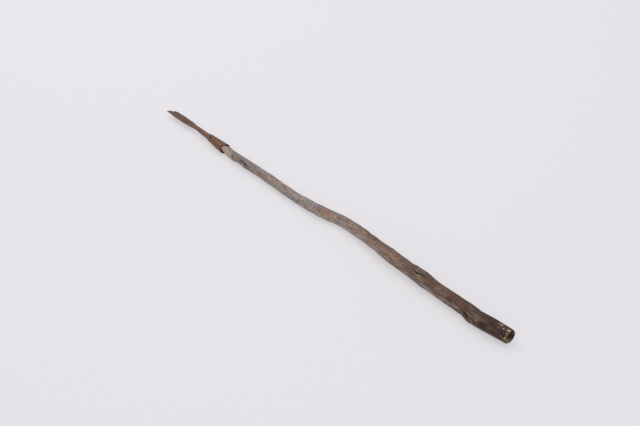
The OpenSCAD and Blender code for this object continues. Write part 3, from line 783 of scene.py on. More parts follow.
def sawn_face(rim):
    """End face inside the butt's rim, with rings, rays and a hollow heart, and its masks."""
    centre = rim.mean(0)
    rings, hollows, pale, brown = [], [], [], []
    for share in FACE_STEPS:
        ring = centre + (rim - centre) * share
        side, up = ring[:, 1] - centre[1], ring[:, 2] - centre[2]
        flat = ring * [0, 1, 1]
        rough = layered(flat / 3.2, 101, 3)
        rays = np.abs(np.sin(np.radians(TURNS * 3.5) + 1.4 * soft_noise(flat / 6, 103)))
        heart = np.hypot(side - 3.2, up + 1.5) / 16
        heart = ease(0.55, 0.2, heart + 0.2 * soft_noise(flat / 4, 105))
        split = ease(0.10, 0.0, np.abs(np.radians(round_turn(TURNS - 226 - 8 * rough))))
        split = split * ease(0.1, 0.4, share)
        split = np.maximum(split, ease(0.08, 0.0, np.abs(np.radians(round_turn(TURNS - 333)))))
        sink = 0.25 + 0.35 * (1 - share) + 0.4 * np.abs(rough) + 0.18 * np.cos(share * 60) + 0.2 * rays
        sink = sink + 4.5 * heart + 2.5 * split
        chips, fray = 0 * TURNS, 0.55 * layered(flat / 1.6, 109, 3)
        for y0, z0, half_y, half_z, strength in FACE_CHIPS:
            away = np.hypot((side - y0) / half_y, (up - z0) / half_z) + fray
            chips = np.maximum(chips, strength * ease(1.15, 0.8, away))
        ring[:, 0] += 0.3 * chips - sink * (1 if share < 0.97 else 0.4)
        rings.append(ring)
        # The hollow heart and the split take the crack colour: painted shade.
        hollows.append(np.clip(0.8 * heart + split, 0, 1))
        pale.append(chips)
        brown.append(ease(6, -1, side + 3 * layered(flat / 3, 113, 3)))
    return np.array(rings), {"crack": hollows, "torn": pale, "chip": pale, "orange": brown}


def branch_grid(shape):
    """Grid of the whole shaft from the tip of its whittled end to the middle of its butt."""
    bark = plain_bark()
    roughen(bark, shape)
    paint_patches(bark)
    cut_scars(bark)
    open_cracks(bark, shape)
    paint_top_shade_and_tone(bark)
    pare_flats(bark)
    tear_butt(bark, shape)
    body = stand_bark(bark)
    tip, tip_grain, tip_swirls = whittled_end()
    face, face_masks = sawn_face(body[-1])
    starts = {"pale": 1.0, "top_shade_and_tone": 1.0, "swirl": tip_swirls}
    ends = {"top_shade_and_tone": 1.0, "face": 1.0, **face_masks}
    masks = continued(bark.masks, starts, ends, tip.shape[:2], face.shape[:2])
    return np.concatenate([tip, body, face]), masks, np.concatenate([tip_grain, bark.grain, face * [1, 3, 3]])


# Slivers at the butt: how many, rows and sides of each, and the directions where they stand
SLIVERS = 36
SLIVER_ROWS = 7
SLIVER_SIDES = 5
SLIVER_AIMS = (78, 84, 90, 95, 158, 164, 186, 210, 262, 300)
SLIVER_SEED = 7
# How deep in the rim the slivers are rooted
SLIVER_ROOT = 1.75


def sliver(base, out, length, width, lift, number):
    """Points and grain coordinates of one sliver, which is thin at both ends and a little bent."""
    tangent = np.array([0, -out[2], out[1]])
    points, coords = [], []
    for t in np.arange(SLIVER_ROWS) / (SLIVER_ROWS - 1):
        girth = width * (0.12 + 0.88 * np.sin(np.pi * (0.06 + 0.86 * t)))
        bend = 0.5 * np.sin(2.1 * t + number) + 0.9 * (1 - t) * np.sin(number * 2.3)
        middle = base + [-length * t, 0, 0] + out * (lift * (1 - t) ** 2 - 0.5 * t) + tangent * bend
        for k in range(SLIVER_SIDES):
            turn = 2 * np.pi * k / SLIVER_SIDES + 0.4
            points.append(middle + tangent * girth * np.cos(turn) + out * girth * 0.5 * np.sin(turn))
            coords.append([base[0] - length * t, number * 3.7 + np.cos(turn) * 1.5, np.sin(turn) * 1.5])
    return points, coords


def sliver_mesh():
    """Slivers that stand off the torn rim of the butt, as points, faces and grain coordinates."""
    draw = np.random.default_rng(SLIVER_SEED)
    points, faces, coords = [], [], []
    for number in range(SLIVERS):
        aim = draw.choice(SLIVER_AIMS) + draw.normal(0, 3)
        start = OVERALL_L - draw.uniform(0.8, 3)
        length = draw.uniform(4, 9)
        width = draw.uniform(0.2, 0.42)
        lift = draw.uniform(0.1, 0.7)
        share = (start - SHOULDER_X) / (BARK_END - SHOULDER_X)
        side, swell, middle = branch_section(share)
        radius = bark_r(share, swell, aim) - SLIVER_ROOT
        out = np.array([0, np.cos(np.radians(aim)), np.sin(np.radians(aim))])
        start += SAW_SLOPE * radius * (out[1] - out[2]) - SAW_BACK
        first = len(points)
        made = sliver(np.array([start, side, middle]) + out * radius, out, length, width, lift, number)
        points += made[0]
        coords += made[1]
        ring = np.arange(SLIVER_SIDES)
        for row in range(SLIVER_ROWS - 1):
            low = first + row * SLIVER_SIDES
            for a, b in zip(low + ring, low + np.roll(ring, -1)):
                faces.append((a, b, b + SLIVER_SIDES, a + SLIVER_SIDES))
        faces.append(tuple(first + ring[::-1]))
        faces.append(tuple(first + (SLIVER_ROWS - 1) * SLIVER_SIDES + ring))
    return np.array(points), faces, np.array(coords)


# The forging

FORGING_LINE = smooth_rows(FORGING, 40)
SIDE, HALF_W, HALF_T, SQUARE, SEAM, LAPPED = range(1, 7)
# Rows of the outside, and columns of the whole head
HEAD_ROWS = 400
HEAD_COLUMNS = 176
# Step of the lap: degrees past the seam, and share of the lap's height
LAP_STEP = ((-1.5, -0.02), (-0.9, -0.12), (-0.45, -0.42), (-0.2, -0.6), (0.0, -0.55),
            (0.12, -0.1), (0.2, 0.45), (0.4, 0.85), (0.8, 1.0), (1.4, 1.0))
# Swells of the two edges in outline: distance, half length, height
UPPER_SWELLS = ((90, 13, 0.9), (33, 11, -0.6), (164, 9, -0.9))
LOWER_SWELLS = ((66, 24, 0.7), (134, 14, 0.5), (204, 24, 1.1))
# Wear that draws the rim back, and where the rings over the rim and down the hollow lie
RIM_WEAR = 0.45
RIM_RINGS = (0.12, 0.3, 0.5, 0.7, 0.88)
HOLLOW_RINGS = np.linspace(0, 1, 70) ** 1.15
# Spots of rust: mask, radius there, distance, direction, half length, half width, outer and
# inner edge, strength
RUST_SPOTS = (
    ("purple", 12.0, 203, 80, 24, 8, 1.3, 0.5, 1.0), ("olive", 13.0, 217, 76, 9, 6, 1.2, 0.4, 0.9),
    ("orange", 6.0, 104, 120, 7, 4, 1.1, 0.3, 1.0), ("orange", 13.0, 214, 124, 12, 6, 1.3, 0.4, 0.9),
    ("orange", 13.0, 228, 112, 6, 9, 1.2, 0.4, 1.0), ("orange", 12.0, 203, 158, 14, 3, 1.2, 0.4, 0.7),
)


def station(x, column):
    """One measure of the forging at a distance from the point."""
    return np.interp(x, FORGING_LINE[:, 0], FORGING_LINE[:, column])


def past_the_seam():
    """Directions counted from the seam, close together beside it, and the height of the lap there."""
    even = np.linspace(0, 1, HEAD_COLUMNS - len(LAP_STEP))
    even = even - 0.75 * np.sin(2 * np.pi * even) / (2 * np.pi)
    past = 2.2 + (360 - 4.4) * even
    rise = np.maximum(0, 1 - past / 100)
    step = np.array(LAP_STEP)
    return np.append(past, step[:, 0] + 360), np.append(rise, step[:, 1])


PAST, RISE = past_the_seam()


def head_surface(x):
    """Side, height and direction of each column of the forging at its distance."""
    turn = np.radians(station(x, SEAM) + PAST)
    lift = RISE * station(x, LAPPED) * LAP
    bow = 2 / station(x, SQUARE)
    c, s = np.cos(turn), np.sin(turn)
    side = station(x, SIDE) + (station(x, HALF_W) + lift) * np.sign(c) * np.abs(c) ** bow
    up = (station(x, HALF_T) + lift) * np.sign(s) * np.abs(s) ** bow
    return side, up, turn


def break_line():
    """Distance of the break in each column: it runs obliquely from edge to edge and is ragged."""
    low_edge = BLADE_SIDE + 0.8 - BLADE_W / 2 * POINT_SHARE
    start = np.zeros(HEAD_COLUMNS)
    for _ in range(8):
        side, up, _ = head_surface(start)
        start = np.maximum(0, (side - low_edge) / np.tan(np.radians(BREAK_ANGLE)))
    ragged = np.stack([start / 3.2, up / 2.0, 0 * start], -1)
    notched = np.maximum(0, 1.5 * layered(ragged, 201, 4) + 0.15)
    return start + notched * ease(0.5, 5, start) + 5.5 * bell(start, 12.0, 2.6)


def mouth_edge(radius, turn):
    """Distance of the worn mouth, with its bay where the corners of the plate are rounded off."""
    bay_r = MOUTH_D / 2
    bay_x = HEAD_L + bay_r - BAY_DEPTH
    across = radius * np.sin(turn - np.radians(SEAM_RUN))
    facing = np.cos(turn - np.radians(SEAM_RUN)) > 0
    cut = bay_x - np.sqrt(np.maximum(bay_r**2 - across**2, 0))
    worn = MOUTH_WEAR * (0.5 + 1.25 * bell(round_turn(np.degrees(turn) - 222), 0, 36))
    return np.where(facing, np.minimum(HEAD_L, cut), HEAD_L) - worn


def mouth_line():
    """Distance of the mouth in each column."""
    end = np.full(HEAD_COLUMNS, HEAD_L)
    for _ in range(4):
        end = mouth_edge(station(end, HALF_W), np.radians(station(end, SEAM) + PAST))
    return end


def swelled(x, swells):
    """Sum of the swells of an edge at each distance."""
    return sum(height * bell(x, place, half_l) for place, half_l, height in swells)


def hammered_surface(shape):
    """Outside of the head from the break to the mouth, with its bevels, hammer marks and pits."""
    start, end = break_line(), mouth_line()
    x = start + (end - start) * np.linspace(0, 1, HEAD_ROWS)[:, None]
    side, up, turn = head_surface(x)
    middle, half_w = station(x, SIDE), station(x, HALF_W)
    # The blade has bevelled edges, thin at the rim, and is flatter in the middle
    blade = ease(FLAT_L * 0.95, FLAT_L * 0.6, x)
    reach = np.abs(side - middle) / half_w
    bevel = station(x, HALF_T) * np.clip((1.0 - reach) / 0.42, 0, 1) ** 0.9 + 0.32
    up = up + blade * 0.75 * (np.sign(up) * np.minimum(np.abs(up) * 1.2, bevel) - up)
    nick = layered(np.stack([x / 5.5, np.sign(side - BLADE_SIDE) * 3, 0 * x], -1), 211, 3)
    side = middle + (side - middle) * (1 - 0.045 * ease(0.25, 0.8, nick) * blade)
    side = side + np.clip((side - middle) / half_w, 0, 1) * swelled(x, UPPER_SWELLS)
    lower = 0.9 * ease(16, 2, x) + swelled(x, LOWER_SWELLS)
    side = side - np.clip((middle - side) / half_w, 0, 1) * lower
    points = np.stack([x, side, AXIS_Z + up], -1)
    # Hammer flats, scale and pits
    forge = shape.hammer_relief / MM * (nearest_cell(points / [13, 7.5, 7.5], 221) - 0.55)
    scale = 0.14 * ease(-0.1, 0.1, layered(points / [7, 4.5, 4.5], 231, 4))
    pits = ease(0.42, 0.12, nearest_cell(points / 2.6, 241))
    pits = pits + 0.5 * ease(0.4, 0.1, nearest_cell(points / 1.3, 251))
    pits = shape.pit_depth / MM * pits * (0.25 + ease(-0.2, 0.5, layered(points / 14, 261, 3)))
    bloom = 0.07 * layered(points / 1.7, 271, 3)
    near_edge = ease(0.98, 0.8, reach) * blade + (1 - blade)
    depth = (forge + scale + bloom - pits) * (0.35 + 0.65 * near_edge)
    # The seam stands open near the neck
    eye = spot(x, np.degrees(turn), half_w, WRAP_START + 21, SEAM_OPEN + 8, 8.5, 1.3, lean=4)
    opened = ease(1.0, 0.45, eye) * (x > WRAP_START)
    depth = depth - 2.7 * opened
    points = points + outward(points) * depth[..., None]
    return SimpleNamespace(points=points, x=x, turn=turn, reach=reach, blade=blade, half_w=half_w,
                           pits=pits, opened=opened, end=end)


def rim_and_hollow(head):
    """Rings over the worn rim, down the hollow and across its bottom."""
    turn = head.turn[-1]

    def wall_point(x, radius):
        side = socket_side(x) + radius * np.cos(turn)
        return np.stack([x, side, AXIS_Z + radius * np.sin(turn)], -1)

    inner_x = np.full(HEAD_COLUMNS, HEAD_L)
    for _ in range(3):
        inner_x = mouth_edge(hollow_r(inner_x), turn)
    inner_edge, outer_edge = wall_point(inner_x, hollow_r(inner_x)), head.points[-1].copy()
    wear = 0.35 * layered(outer_edge / 4, 281, 3) - RIM_WEAR
    head.points[-1, :, 0] += wear
    head.points[-2, :, 0] += wear * 0.6
    rim = np.array([outer_edge + (inner_edge - outer_edge) * share for share in RIM_RINGS])
    rim[..., 0] += wear + 0.42 * np.sin(np.pi * np.array(RIM_RINGS))[:, None] ** 0.6
    bottom_x = HEAD_L - HOLLOW_DEPTH
    places = [inner_x + wear * (1 - share) + (bottom_x + 0.2 - inner_x) * share for share in HOLLOW_RINGS]
    inner = np.array([wall_point(x, hollow_r(x) + 0.08) for x in places])
    axis = np.stack([inner[..., 0], socket_side(inner[..., 0]), np.full(inner.shape[:2], AXIS_Z)], -1)
    rough = 0.012 + 0.01 * layered(inner / 3, 291, 3)
    inner[:-1] += ((inner - axis) * rough[..., None])[:-1]
    middle = np.array([bottom_x + 0.1, socket_side(bottom_x), AXIS_Z])
    bottom = np.array([middle + (inner[-1] - middle) * share for share in (0.8, 0.5, 0.2)])
    return np.concatenate([rim, inner, bottom])


def broken_end(first):
    """Rings that close the break towards the blade's middle plane."""
    rings = []
    for share in (0.04, 0.3, 0.6, 0.85):
        ring = first.copy()
        ring[:, 2] = AXIS_Z + (ring[:, 2] - AXIS_Z) * share
        ring[:, 0] += 0.5 * (1 - share) * (0.6 + 0.5 * layered(ring / 1.6, 295, 3)) - 0.25
        rings.append(ring)
    return np.array(rings)


def rust_masks(head):
    """Masks of the rust, the rubbed edges and the seam, with painted shade on the rim, in the seam's open eye
    and on the socket's top.
    """
    x, blade, reach = head.x, head.blade, head.reach
    turn = np.degrees(head.turn)
    from_seam = np.abs(round_turn(PAST)) * np.radians(1) * head.half_w
    lapped = station(x, LAPPED)
    edge = ease(0.5, 0.9, reach + 0.1 * layered(head.points / 6, 297, 3)) * blade
    edge = edge * (1 - 0.4 * ease(22, 34, x))
    upper = ease(50, 20, np.abs(round_turn(turn - 60))) * ease(HEAD_L - 22, HEAD_L - 10, x)
    purple = 0.7 * ease(40, 20, np.abs(round_turn(turn - 55)))
    purple = np.maximum(purple, 0.9 * blade * ease(0.5, 0.9, reach) * ease(18, 30, x))
    seam_side = bell(round_turn(turn - 138), 0, 44)
    # Painted shade: from the wrap on, the socket is darker where it faces up and lighter where it faces down.
    # The other factors make the iron darker towards the point and near 48 mm, and lighter about the neck.
    lit = np.maximum(np.cos(np.radians(turn - 78)) - 0.35, -0.8)
    top_shade_and_tone = 1 - 0.2 * ease(WRAP_START - 10, WRAP_START + 15, x) * lit
    top_shade_and_tone = top_shade_and_tone * (1 - 0.16 * ease(105, 70, x)) * (1 + 0.16 * bell(x, 140, 26))
    top_shade_and_tone = top_shade_and_tone * (1 + 0.05 * ease(140, 170, x)) * (1 - 0.07 * bell(x, 48, 9))
    masks = {
        # The seam's open eye is painted near black as painted shade in the slot; the closed seam is a dark
        # joint.
        "seam": np.maximum(ease(1.1, 0.25, from_seam) * lapped * (RISE < 0.5), head.opened),
        "edge": np.maximum.reduce([edge, 0.8 * ease(14, 5, x), 0.75 * upper]),
        "orange": ease(3.6, 0.6, from_seam) * lapped * 0.8,
        # Painted shade: the outside within 2 mm of the mouth is darkened, except on the seam side.
        "inside": 0.75 * ease(2.0, 0.3, head.end - x) * (1 - seam_side),
        "pit": np.clip(head.pits / 0.3, 0, 1),
        "purple": purple,
        "olive": 0.85 * ease(5, 10, x) * ease(34, 22, x),
        "top_shade_and_tone": top_shade_and_tone,
    }
    for label, radius, place, aim, half_l, half_w, outer, inner, strength in RUST_SPOTS:
        reach = spot(x, turn, radius, place, aim, half_l, half_w)
        raise_mask(masks, label, strength * ease(outer, inner, reach))
    return masks, seam_side[-1]


def forging_grid(shape):
    """Grid of the head: outside from the break to the mouth, over the rim and down the hollow."""
    head = hammered_surface(shape)
    inside = rim_and_hollow(head)
    broken = broken_end(head.points[0])
    masks, seam_side = rust_masks(head)
    # The rim and the hollow are made near black: painted shade of the gap round the wood on the rim, and dark
    # iron down the hollow.
    dark, rust = np.ones(inside.shape[:2]), np.zeros(inside.shape[:2])
    rim_rows = len(RIM_RINGS) + 1
    dark[:rim_rows] = 1 - 0.5 * seam_side
    rust[:rim_rows] = seam_side
    starts = {"edge": 0.7, "top_shade_and_tone": 1.0}
    ends = {"inside": dark, "orange": rust, "top_shade_and_tone": 1.0}
    masks = continued(masks, starts, ends, broken.shape[:2], inside.shape[:2])
    grid = np.concatenate([broken, head.points, inside])
    return grid, masks, grid


# Node helpers


def feed(tree, socket, value):
    """Links a socket or sets a value."""
    if isinstance(value, bpy.types.NodeSocket):
        tree.links.new(value, socket)
    elif value is not None:
        socket.default_value = value


def node(tree, kind, inputs=(), **settings):
    """Adds a node with its settings and inputs, the inputs by name or number."""
    made = tree.nodes.new(kind)
    for key, value in settings.items():
        setattr(made, key, value)
    for key, value in dict(inputs).items():
        feed(tree, made.inputs[key], value)
    return made


def calc(tree, operation, a, b=None, clamp=False):
    """Math node's result."""
    return node(tree, "ShaderNodeMath", {0: a, 1: b}, operation=operation, use_clamp=clamp).outputs[0]


def span(tree, value, low, high, to_low=0.0, to_high=1.0):
    """Maps a range smoothly on to another."""
    inputs = {"Value": value, "From Min": low, "From Max": high, "To Min": to_low, "To Max": to_high}
    return node(tree, "ShaderNodeMapRange", inputs, interpolation_type="SMOOTHSTEP").outputs["Result"]


def mix(tree, share, a, b, blend="MIX"):
    """Mixes two colours."""
    made = node(tree, "ShaderNodeMix", data_type="RGBA", blend_type=blend)
    feed(tree, made.inputs[0], share)
    feed(tree, made.inputs[6], a)
    feed(tree, made.inputs[7], b)
    return made.outputs[2]


def mask(tree, name):
    """A mask that the mesh carries."""
    return node(tree, "ShaderNodeAttribute", attribute_name=name).outputs["Fac"]


def noise(tree, vector, scale, detail=3.0, rough=0.5, warp=0.0):
    """Noise value from 0 to 1."""
    inputs = {"Vector": vector, "Scale": scale, "Detail": detail, "Roughness": rough, "Distortion": warp}
    return node(tree, "ShaderNodeTexNoise", inputs).outputs["Fac"]


def ramp(tree, value, stops):
    """Colours along a value."""
    made = node(tree, "ShaderNodeValToRGB", {"Fac": value})
    band = made.color_ramp
    while len(band.elements) < len(stops):
        band.elements.new(0.5)
    for element, (place, colour) in zip(band.elements, stops):
        element.position = place
        element.color = colour
    return made.outputs["Color"]


def new_group(name, inputs, outputs):
    """Empty node group with its sockets: (name, kind, default) in, (name, kind) out."""
    group = bpy.data.node_groups.new(name, "ShaderNodeTree")
    for label, kind, default in inputs:
        socket = group.interface.new_socket(label, in_out="INPUT", socket_type=kind)
        if default is not None:
            socket.default_value = default
    for label, kind in outputs:
        group.interface.new_socket(label, in_out="OUTPUT", socket_type=kind)
    return group, group.nodes.new("NodeGroupInput"), group.nodes.new("NodeGroupOutput")


def times(tree, a, b, clamp=False):
    """Product of two values."""
    return calc(tree, "MULTIPLY", a, b, clamp)


def plus(tree, a, b, clamp=False):
    """Sum of two values."""
    return calc(tree, "ADD", a, b, clamp)


def stain(tree, colour, share, tint, strength, blend="MIX"):
    """Lays a tint over a share of a colour."""
    return mix(tree, times(tree, share, strength), colour, tint, blend)


FLOAT, VECTOR = "NodeSocketFloat", "NodeSocketVector"


def streak_group(name):
    """Long streaks along the first axis of the coordinates, as in grain and drawn-out iron."""
    sockets = [("Vector", VECTOR, None), ("Along", FLOAT, 30.0), ("Across", FLOAT, 600.0)]
    group, start, end = new_group(name, sockets, [("Streak", FLOAT), ("Fine", FLOAT)])
    across = start.outputs["Across"]
    scale = node(group, "ShaderNodeCombineXYZ", {0: start.outputs["Along"], 1: across, 2: across}).outputs[0]
    stretched = node(group, "ShaderNodeVectorMath", {0: start.outputs["Vector"], 1: scale},
                     operation="MULTIPLY").outputs[0]
    coarse = noise(group, stretched, scale=1.0, detail=4.0, rough=0.6, warp=0.3)
    fine = noise(group, stretched, scale=3.7, detail=3.0, rough=0.65)
    feed(group, end.inputs["Streak"], span(group, coarse, 0.3, 0.7))
    feed(group, end.inputs["Fine"], span(group, fine, 0.3, 0.7))
    return group


def mottle_group(name):
    """Cloudy patches of two sizes, for stains, rust and dirt."""
    sockets = [("Vector", VECTOR, None), ("Scale", FLOAT, 60.0), ("Cover", FLOAT, 0.5)]
    group, start, end = new_group(name, sockets, [("Patch", FLOAT), ("Speck", FLOAT)])
    vector, scale = start.outputs["Vector"], start.outputs["Scale"]
    broad = noise(group, vector, scale, detail=5.0, rough=0.6, warp=0.4)
    level = calc(group, "SUBTRACT", 1.0, start.outputs["Cover"])
    low, high = calc(group, "SUBTRACT", level, 0.12), plus(group, level, 0.12)
    feed(group, end.inputs["Patch"], span(group, broad, low, high))
    speck = noise(group, vector, times(group, scale, 7.3), detail=3.0, rough=0.7)
    feed(group, end.inputs["Speck"], span(group, speck, 0.56, 0.72))
    return group


def dust_group(name):
    """Pale dust that lies on what faces up, in patches."""
    sockets = [("Vector", VECTOR, None), ("Amount", FLOAT, 0.3)]
    group, start, end = new_group(name, sockets, [("Dust", FLOAT)])
    normal = node(group, "ShaderNodeNewGeometry").outputs["Normal"]
    lies = span(group, node(group, "ShaderNodeSeparateXYZ", {0: normal}).outputs[2], 0.2, 0.95)
    cloud = span(group, noise(group, start.outputs["Vector"], scale=90.0, detail=5.0, rough=0.65), 0.35, 0.75)
    feed(group, end.inputs["Dust"], times(group, times(group, lies, cloud), start.outputs["Amount"]))
    return group


def shade_group(name):
    """Light and dark from streaks, a fine grit and the mask that the mesh carries, with its painted shade on
    top.
    """
    sockets = [("Vector", VECTOR, None), ("Streak", FLOAT, 0.5), ("Fine", FLOAT, 0.5), ("Tone", FLOAT, 1.0),
               ("Streak low", FLOAT, 0.8), ("Streak high", FLOAT, 1.2), ("Fine low", FLOAT, 0.8),
               ("Fine high", FLOAT, 1.1), ("Grit scale", FLOAT, 350.0), ("Grit low", FLOAT, 0.8),
               ("Grit high", FLOAT, 1.2)]
    group, start, end = new_group(name, sockets, [("Shade", FLOAT)])
    given = start.outputs
    streak = span(group, given["Streak"], 0.0, 1.0, given["Streak low"], given["Streak high"])
    fine = span(group, given["Fine"], 0.0, 1.0, given["Fine low"], given["Fine high"])
    grit = noise(group, given["Vector"], given["Grit scale"], detail=3.0, rough=0.7)
    grit = span(group, grit, 0.3, 0.7, given["Grit low"], given["Grit high"])
    shade = times(group, times(group, streak, fine), grit)
    feed(group, end.inputs["Shade"], times(group, shade, given["Tone"]))
    return group


STREAKS, MOTTLES, DUST = "Streaks along the grain", "Mottled patches", "Dust on upper faces"
SHADE = "Light and dark of the surface"
BUILDERS = {STREAKS: streak_group, MOTTLES: mottle_group, DUST: dust_group, SHADE: shade_group}


def effect(tree, name, **inputs):
    """Outputs of a node group placed in a material, which is built when it is first asked for.

    Spaces in the names of its inputs are written as underscores.
    """
    group = bpy.data.node_groups.get(name) or BUILDERS[name](name)
    made = node(tree, "ShaderNodeGroup", node_tree=group)
    for key, value in inputs.items():
        feed(tree, made.inputs[key.replace("_", " ")], value)
    return made.outputs


def new_material(name):
    """Material with its node tree and its Principled shader."""
    material = bpy.data.materials.new(name)
    material.use_nodes = True
    return material, material.node_tree, material.node_tree.nodes["Principled BSDF"]


def darkened(tree, colour, shade):
    """Colour made lighter or darker by a value."""
    grey = node(tree, "ShaderNodeCombineColor", {0: shade, 1: shade, 2: shade}).outputs[0]
    return mix(tree, 1.0, colour, grey, "MULTIPLY")


def finish_shader(tree, shader, colour, rough, height, strength, distance):
    """Gives the shader its colour, its roughness and a bump from a height."""
    feed(tree, shader.inputs["Base Color"], colour)
    feed(tree, shader.inputs["Roughness"], rough)
    bump = node(tree, "ShaderNodeBump", {"Height": height, "Strength": strength, "Distance": distance})
    feed(tree, shader.inputs["Normal"], bump.outputs["Normal"])


def wood_material(finish):
    """Weathered branch: grey at the head end, near black at the butt, pared, torn and cracked."""
    material, tree, shader = new_material("weathered_wood")
    coords = node(tree, "ShaderNodeAttribute", attribute_name="grain").outputs["Vector"]

    def mottled(scale, cover=0.5):
        return effect(tree, MOTTLES, Vector=coords, Scale=scale, Cover=cover)

    # Place along the branch, 0 at the head and 1 at the butt, with a wandering edge
    along = node(tree, "ShaderNodeSeparateXYZ", {0: coords}).outputs[0]
    wander = noise(tree, coords, scale=22.0, detail=3.0, rough=0.6)
    place = plus(tree, times(tree, along, 1.036), times(tree, wander, 0.12))
    place = calc(tree, "SUBTRACT", place, 0.303)
    colour = ramp(tree, place, [
        (0.06, finish.grey_wood), (0.2, finish.pale_wood), (0.38, finish.pale_wood), (0.5, finish.brown_wood),
        (0.72, finish.deep_wood), (0.92, finish.butt_wood),
    ])
    skin = ramp(tree, place, [(0.1, finish.fore_bark), (0.5, finish.mid_bark), (0.92, finish.butt_bark)])
    streaks = effect(tree, STREAKS, Vector=coords, Along=48.0, Across=420.0)
    mottles, blots = mottled(55.0), mottled(150.0, 0.42)
    colour = stain(tree, colour, mottled(17.0)["Patch"], finish.dark_stain, 0.14)
    colour = stain(tree, colour, mottles["Patch"], finish.warm_stain, 0.6, "MULTIPLY")
    colour = stain(tree, colour, mottled(34.0, 0.42)["Patch"], finish.moss_stain, 0.7, "MULTIPLY")
    colour = stain(tree, colour, blots["Patch"], finish.blot_stain, 0.8, "MULTIPLY")
    breakup = span(tree, noise(tree, coords, scale=190.0, detail=5.0, rough=0.75), 0.32, 0.66, 0.05, 1.3)
    # The grey tint is partly painted sheen along the side at directions 176 to 196, partly grey patches.
    for label, tint in (("olive", finish.olive_stain), ("reddish", finish.red_stain),
                        ("orange", finish.orange_stain), ("amber", finish.amber_stain),
                        ("russet", finish.russet_stain), ("violet", finish.violet_stain),
                        ("tan", finish.tan_wood), ("grey", finish.grey_and_side_sheen)):
        blend = "MULTIPLY" if label == "reddish" else "MIX"
        colour = stain(tree, colour, times(tree, mask(tree, label), breakup, clamp=True), tint, 0.8, blend)
    flaked = times(tree, mask(tree, "bark"), span(tree, mottles["Patch"], 0.0, 1.0, 0.62, 0.95))
    colour = mix(tree, flaked, colour, skin)
    dark = times(tree, mask(tree, "dark"), breakup, clamp=True)
    colour = stain(tree, colour, dark, finish.dark_patch, 0.85, "MULTIPLY")
    colour = stain(tree, colour, mask(tree, "mark"), finish.dark_mark, 0.85, "MULTIPLY")
    # The mask fed in as Tone carries painted shade: darker on top, lighter on the sides and underneath.
    shade = effect(tree, SHADE, Vector=coords, Streak=streaks["Streak"], Fine=streaks["Fine"],
                   Tone=mask(tree, "top_shade_and_tone"), Streak_low=0.76, Streak_high=1.2, Fine_low=0.84, Fine_high=1.12,
                   Grit_scale=340.0, Grit_low=0.72, Grit_high=1.24)["Shade"]
    colour = darkened(tree, colour, shade)
    colour = stain(tree, colour, mottles["Speck"], finish.dark_stain, 0.4)
    # Whittled, sawn and torn wood under the grey skin
    pared = mix(tree, streaks["Fine"], finish.pared_wood, finish.pared_shadow)
    pared = stain(tree, pared, blots["Patch"], finish.pared_stain, 0.55)
    pared = stain(tree, pared, mask(tree, "swirl"), finish.pared_stain, 0.7)
    colour = mix(tree, mask(tree, "pale"), colour, pared)
    brown = times(tree, mask(tree, "orange"), breakup, clamp=True)
    sawn = mix(tree, brown, finish.end_face, finish.end_brown)
    colour = stain(tree, colour, mask(tree, "face"), sawn, 0.9)
    chips = mottled(300.0)["Patch"]
    pale_chip = times(tree, mask(tree, "chip"), span(tree, chips, 0.0, 1.0, 0.6, 1.0))
    pale_chip = calc(tree, "MAXIMUM", times(tree, chips, 0.5), pale_chip)
    torn = mix(tree, streaks["Streak"], finish.torn_dark, finish.torn_red)
    torn = mix(tree, pale_chip, torn, finish.torn_wood)
    torn_share = times(tree, mask(tree, "torn"), span(tree, mottles["Patch"], 0.0, 1.0, 0.8, 1.0))
    colour = mix(tree, torn_share, colour, torn)
    # Painted shade: cracks, holes and the end face's hollows are made near black.
    colour = mix(tree, mask(tree, "crack"), colour, finish.crack)
    dust = effect(tree, DUST, Vector=coords, Amount=0.09)["Dust"]
    dust = times(tree, dust, span(tree, place, 0.78, 0.93, 1.0, 0.15))
    colour = mix(tree, dust, colour, finish.dust)
    polish = span(tree, place, 0.62, 0.95, 0.0, -0.14)
    rough = plus(tree, span(tree, streaks["Streak"], 0.0, 1.0, 0.62, 0.86), polish)
    rough = plus(tree, rough, times(tree, mask(tree, "crack"), 0.25), clamp=True)
    height = plus(tree, times(tree, streaks["Streak"], 0.7), times(tree, streaks["Fine"], 0.5))
    height = plus(tree, height, times(tree, noise(tree, coords, scale=900.0, detail=3.0, rough=0.6), 0.5))
    finish_shader(tree, shader, colour, rough, height, strength=0.55, distance=0.00035)
    shader.inputs["Specular IOR Level"].default_value = 0.2
    return material


